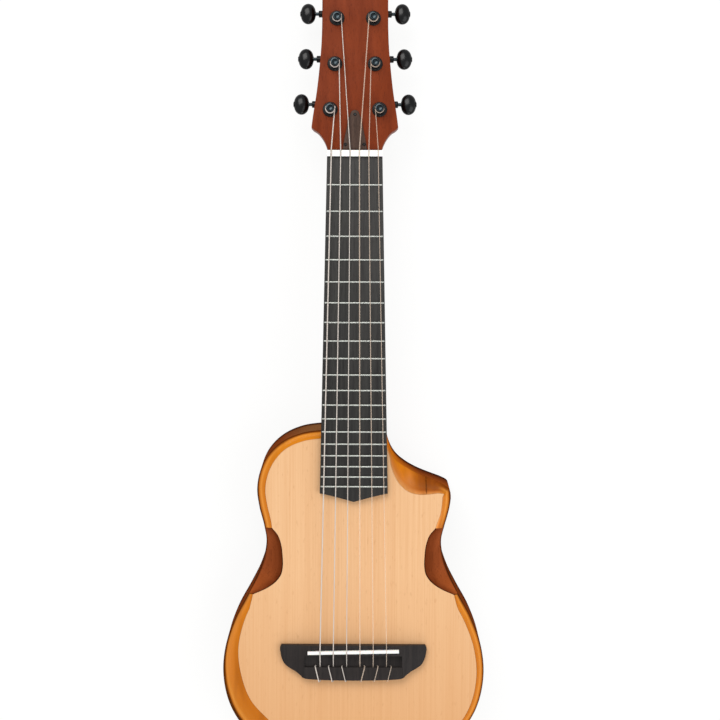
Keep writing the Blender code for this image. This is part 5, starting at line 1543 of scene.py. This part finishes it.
@dataclass
class Tuner:
    """One tuning machine, drawn for the treble side and mirrored for the bass side."""

    bench: Bench
    number: int
    teeth: int = 14
    tooth: float = 0.0006
    tooth_root: float = 0.0007
    wheel_half: float = 0.0015
    hole_radius: float = 0.0008
    hole_turns: float = 2.9
    wheel_radius: float = 0.0056
    worm_place: float = 0.0076
    wheel_level: float = -(HEAD_THICKNESS + 0.005)
    worm_pitch: float = math.pi * 0.0008
    post_top: float = 0.0112
    post_cap: float = 0.0038
    washer: float = 0.0065
    washer_thick: float = 0.0012
    bushing_length: float = 0.009
    shaft: float = 0.0015
    knob_place: float = 0.0254
    knob_width: float = 0.0133
    knob_long: float = 0.0182
    knob_thick: float = 0.0092
    housing_width: float = 0.0162
    housing_length: float = 0.0205
    housing_high: float = 0.0108
    housing_below: float = 0.0078
    housing_bevel: float = 0.0025
    housing_wall: float = 0.0013

    @staticmethod
    def places() -> list[tuple[float, float]]:
        """Each post's centre in the head's frame, from the treble string."""
        bass = [(-across, TUNER_FIRST + index * TUNER_SPACING) for index, across in enumerate(POST_PLACES)]
        return [(-x, y) for x, y in bass] + bass[::-1]

    def bushing_shape(self) -> Shape:
        """The bushing with its round washer."""
        inner, lip, low = POST_RADIUS + HAIR, HAIR + self.washer_thick, -self.bushing_length
        return Shape.turned([(inner, low), (BUSHING_RADIUS, low), (BUSHING_RADIUS, HAIR), (self.washer, HAIR),
                             (self.washer, lip - 0.0005), (self.washer - 0.0002, lip - 0.0002),
                             (self.washer - 0.0006, lip), (0.0055, lip), (0.0053, lip + 0.0002),
                             (0.0053, lip + 0.0008), (0.0050, lip + 0.0011), (inner + 0.0003, lip + 0.0011),
                             (inner, lip + 0.0008)], 56, ring=True)

    def post_shape(self) -> Shape:
        """The post with its dished top, its string hole and its worm wheel."""
        half, foot = self.wheel_half, -(HEAD_THICKNESS + self.housing_high + HAIR)
        radius, top, step = POST_RADIUS, self.post_top, math.pi / self.teeth
        shoulder = self.wheel_level - half - 0.0008
        cap = self.post_cap
        stem = Shape.turned([(0.0012, foot), (0.0015, foot + 0.0003), (0.0015, shoulder), (radius, shoulder),
                             (radius, top - 0.0023), (cap - 0.0001, top - 0.0016), (cap, top - 0.0012),
                             (cap, top - 0.0006), (cap - 0.0002, top - 0.0002), (cap - 0.0007, top),
                             (cap - 0.0012, top), (cap - 0.0016, top - 0.0003), (cap - 0.0019, top - 0.0011),
                             (0.0005, top - 0.0014)], 48)
        twist = half * self.worm_pitch / (2 * math.pi * (self.worm_place - self.wheel_radius)) / self.wheel_radius
        rings = []
        for height, turn in ((-half, -twist), (0.0, 0.0), (half, twist)):
            ring = []
            for tooth in range(self.teeth):
                middle = math.pi / 2 + tooth * 2 * step + turn
                for share, reach in ((-0.23, -self.tooth_root), (-0.10, self.tooth), (0.10, self.tooth),
                                     (0.23, -self.tooth_root)):
                    angle = middle + share * 2 * step
                    ring.append(((self.wheel_radius + reach) * math.cos(angle),
                                 (self.wheel_radius + reach) * math.sin(angle), self.wheel_level + height))
            rings.append(ring)
        hole = Shape.rod(self.hole_radius, -2 * radius, 2 * radius, 20, Axis.ACROSS)
        level = WINDING_LEVEL + WINDING_PITCH * self.hole_turns
        return stem.grown(Shape.loft(rings)).cut(hole.moved(Matrix.Translation((0, 0, level))))

    def shaft_shape(self) -> Shape:
        """The knob's shaft with its worm, along X."""
        core = Shape.turned([(0.0011, -self.housing_width / 2 - HAIR), (0.0011, self.worm_pitch * 1.3 + 0.0004),
                             (self.shaft, self.worm_pitch * 1.3 + 0.0008), (self.shaft, self.knob_place + 0.0015)],
                            28, Axis.ACROSS)
        sections = []
        for index in range(2 * 24 + 1):
            turn = 2 * math.pi * index / 24
            place = self.worm_pitch * (index / 24 - 1)
            sections.append([(place + share * self.worm_pitch, radius * math.cos(turn), radius * math.sin(turn))
                             for radius, share in ((0.0008, -0.27), (0.0024, -0.11), (0.0024, 0.11), (0.0008, 0.27))])
        return core.grown(Shape.loft(sections))

    def knob_shape(self) -> Shape:
        """The oval knob, with its bore and the screw in its end."""
        inner, sides, bore, neck = self.knob_place - self.knob_width / 2, 48, self.shaft + HAIR, 0.0024
        rings = [(inner, neck - 0.0003, neck - 0.0003), (inner + 0.0002, neck, neck)]
        for step in range(1, 22):
            angle = math.radians(20 + (164 - 20) * step / 21)
            swell = math.sin(angle) ** 0.85
            rings.append((inner + self.knob_width * (1 - math.cos(angle)) / 2, self.knob_long / 2 * swell,
                          self.knob_thick / 2 * swell))
        end = inner + self.knob_width
        rings += [(end, neck, neck), (end, bore, bore), (inner, bore, bore)]
        sections = [[(place, long * math.cos(2 * math.pi * side / sides), thick * math.sin(2 * math.pi * side / sides))
                     for side in range(sides)] for place, long, thick in rings]
        screw = Shape.turned([(0.0021, end - 0.003), (0.0021, end + 0.0001), (0.0019, end + 0.0004),
                              (0.0014, end + 0.0005)], 32, Axis.ACROSS)
        slot = Shape.box((end, -0.003, -0.0003), (end + 0.002, 0.003, 0.0003))
        return Shape.loft(sections, closed=True).grown(screw.cut(slot))

    def housing_shape(self) -> Shape:
        """The housing: a cup behind the head, a boss for the shaft, a lug and its screw."""
        high = -(HEAD_THICKNESS + HAIR)
        low, half, bottom = high - self.housing_high, self.housing_width / 2, -self.housing_below
        bevel, wall = self.housing_bevel, self.housing_wall
        top = bottom + self.housing_length
        outline = [(-half + bevel, bottom), (half - bevel, bottom), (half, bottom + bevel), (half, top - bevel),
                   (half - bevel, top), (-half + bevel, top), (-half, top - bevel), (-half, bottom + bevel)]
        inset = [(0.86 * x, bottom + 0.001 + (y - bottom) * (1 - 0.002 / self.housing_length)) for x, y in outline]
        shell = Shape.loft([[(x, y, high) for x, y in outline], [(x, y, low + 0.0015) for x, y in outline],
                            [(x, y, low) for x, y in inset]])
        lug = Shape.loft([[(x, y, z) for x, y in ((-0.003, bottom + 0.001), (0.003, bottom + 0.001),
                                                  (0.0024, bottom - 0.005), (-0.0024, bottom - 0.005))]
                          for z in (high - 0.0025, high)])
        axis = Matrix.Translation((0, self.worm_place, self.wheel_level))
        boss = Shape.turned([(0.003, half - 0.001), (0.003, 0.0120), (0.0026, 0.0122), (0.0026, 0.0128),
                             (0.003, 0.0130), (0.003, 0.0158), (0.0025, 0.0163)], 40, Axis.ACROSS)
        cavity = Shape.box((-half + wall, bottom + wall, low + wall), (half - wall, top - wall, high + PAST))
        bores = [Shape.rod(self.shaft + HAIR, PAST, 0.0173, 28, Axis.ACROSS).moved(axis),
                 Shape.rod(0.0014, -half - PAST, 0.0, 24, Axis.ACROSS).moved(axis),
                 Shape.rod(0.0018, low - PAST, low + wall + PAST, 28)]
        screw = Shape.turned([(0.0013, high - 0.0037), (0.0019, high - 0.0034), (0.0021, high - 0.003),
                              (0.0021, high - 0.002), (0.0007, high - 0.002), (0.0007, -0.0095)], 24)
        slot = Shape.box((-0.003, -0.0003, high - 0.005), (0.003, 0.0003, high - 0.0031))
        screw = screw.cut(slot).moved(Matrix.Translation((0, bottom - 0.0028, 0)))
        return shell.grown(lug).softened(0.0004).grown(boss.moved(axis)).cut(cavity, *bores).grown(screw)

    def build(self, shapes: dict[str, Shape]) -> None:
        """Puts this machine's pieces on the head, each on its body."""
        x, y = self.places()[self.number]
        place = head_frame() @ Matrix.Translation((x, y, 0))
        axis = place @ Matrix.Translation((0, self.worm_place, self.wheel_level))
        hand = Matrix.Scale(-1, 4, (1, 0, 0)) if x < 0 else Matrix.Identity(4)
        n = self.number + 1
        for name, node, finish, body, matrix in (
                ("washer_and_bushing", "bushing", "black_metal", "instrument", place),
                ("gear_housing", "housing", "black_metal", "instrument", place),
                ("string_post", "post", "dark_chrome", f"post_{n}", place),
                ("worm_shaft", "shaft", "dark_chrome", f"knob_{n}", axis),
                ("oval_knob", "knob", "knob_black", f"knob_{n}", axis)):
            self.bench.add(f"{name}_{n}", shapes[node].moved(matrix @ hand), finish, [f"tuner_{node}_{n}"], body,
                           smooth=30.0)


# Stage

@dataclass
class Studio:
    """Floor, lamps, world and camera."""

    camera_place: Point = (0.0051, NUT_Y - 0.0022, 1.964)
    camera_tilt: float = math.radians(5.257)
    camera_roll: float = math.radians(0.184)
    lens: float = 109.1
    sky: float = 0.62
    sky_colour: tuple[float, ...] = (0.96, 0.98, 1.0, 1.0)
    aim: Point = (0.0, 0.12, 0.05)
    floor_half: float = 6.0
    floor_top: float = -0.0002

    def build_floor(self) -> None:
        """A wide pale floor under the flat back."""
        half = self.floor_half
        thing = placed("floor", Shape.box((-half, -half, -0.02), (half, half, self.floor_top)).mesh)
        thing.data.materials.append(Stage().make())

    def build_lamps(self) -> None:
        """Large soft lamps above, and one low strip for the gloss along the edges."""
        for name, place, size, power, colour in (
                ("key", (-0.5, 1.7, 1.9), 1.4, 27.0, (1.0, 0.985, 0.96)),
                ("fill", (1.3, -0.4, 1.9), 1.8, 15.0, (0.97, 0.985, 1.0)),
                ("strip", (0.2, -1.9, 1.0), 0.8, 6.0, (1.0, 1.0, 1.0))):
            lamp = bpy.data.lights.new(name, "AREA")
            lamp.shape, lamp.size, lamp.energy, lamp.color = "SQUARE", size, power, colour
            thing = placed(name, lamp)
            thing.location = place
            thing.rotation_euler = (Vector(self.aim) - Vector(place)).to_track_quat("-Z", "Y").to_euler()

    def build_world(self) -> None:
        """An even pale sky, white where it is seen."""
        world = bpy.data.worlds.new("studio")
        bpy.context.scene.world = world
        graph = Tree(world)
        path = graph.node("ShaderNodeLightPath")
        soft, seen = (graph.node("ShaderNodeBackground", inputs={0: colour, 1: strength}).outputs[0]
                      for colour, strength in ((self.sky_colour, self.sky), (WHITE, 1.0)))
        mix = graph.node("ShaderNodeMixShader", inputs={0: path.outputs["Is Camera Ray"], 1: soft, 2: seen})
        graph.node("ShaderNodeOutputWorld", inputs={0: mix.outputs[0]})

    def build_camera(self) -> None:
        """The photograph's camera, high above and tilted a little to the tail."""
        data = bpy.data.cameras.new("camera")
        data.lens, data.sensor_width, data.clip_end = self.lens, 36.0, 30.0
        camera = placed("camera", data)
        camera.matrix_world = (Matrix.Translation(self.camera_place) @ Matrix.Rotation(-self.camera_tilt, 4, "X")
                               @ Matrix.Rotation(self.camera_roll, 4, "Z"))
        bpy.context.scene.camera = camera

    def build(self) -> None:
        """Sets the stage."""
        bpy.context.scene.view_settings.view_transform = "Standard"
        self.build_floor()
        self.build_lamps()
        self.build_world()
        self.build_camera()


def dress_kept_nodes(bench: Bench, nodes: dict[str, bpy.types.Object]) -> None:
    """Gives the CAD nodes that stay their finishes, and rounds the nut's edges over."""
    for name in ("neck_block", "tail_block", "top_lining_upper", "top_lining_lower", "back_lining", "top_bracing",
                 "back_bracing", "truss_rod", "nut"):
        slot = bench.slot_of(name)
        bench.palette.paint(nodes[name], "blockwood" if slot == "spruce" else slot)
    bevel = nodes["nut"].modifiers.new("round_over", "BEVEL")
    bevel.width, bevel.segments, bevel.limit_method = 0.00025, 2, "ANGLE"


def main() -> None:
    """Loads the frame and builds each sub-assembly round it."""
    logging.basicConfig(level=logging.INFO, format="%(name)s: %(message)s")
    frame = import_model()
    bench = Bench(Palette(), frame["record"])
    Studio().build()
    Body(bench).build()
    Neck(bench).build()
    bridge = Bridge(bench)
    bridge.build()
    Strings(bench, bridge).build()
    model = Tuner(bench, 0)
    shapes = {"bushing": model.bushing_shape(), "housing": model.housing_shape(), "post": model.post_shape(),
              "shaft": model.shaft_shape(), "knob": model.knob_shape()}
    for number in SIX:
        Tuner(bench, number).build(shapes)
    dress_kept_nodes(bench, frame["nodes"])
    LOG.info("%d pieces", bench.count)


if __name__ == "__main__":
    main()
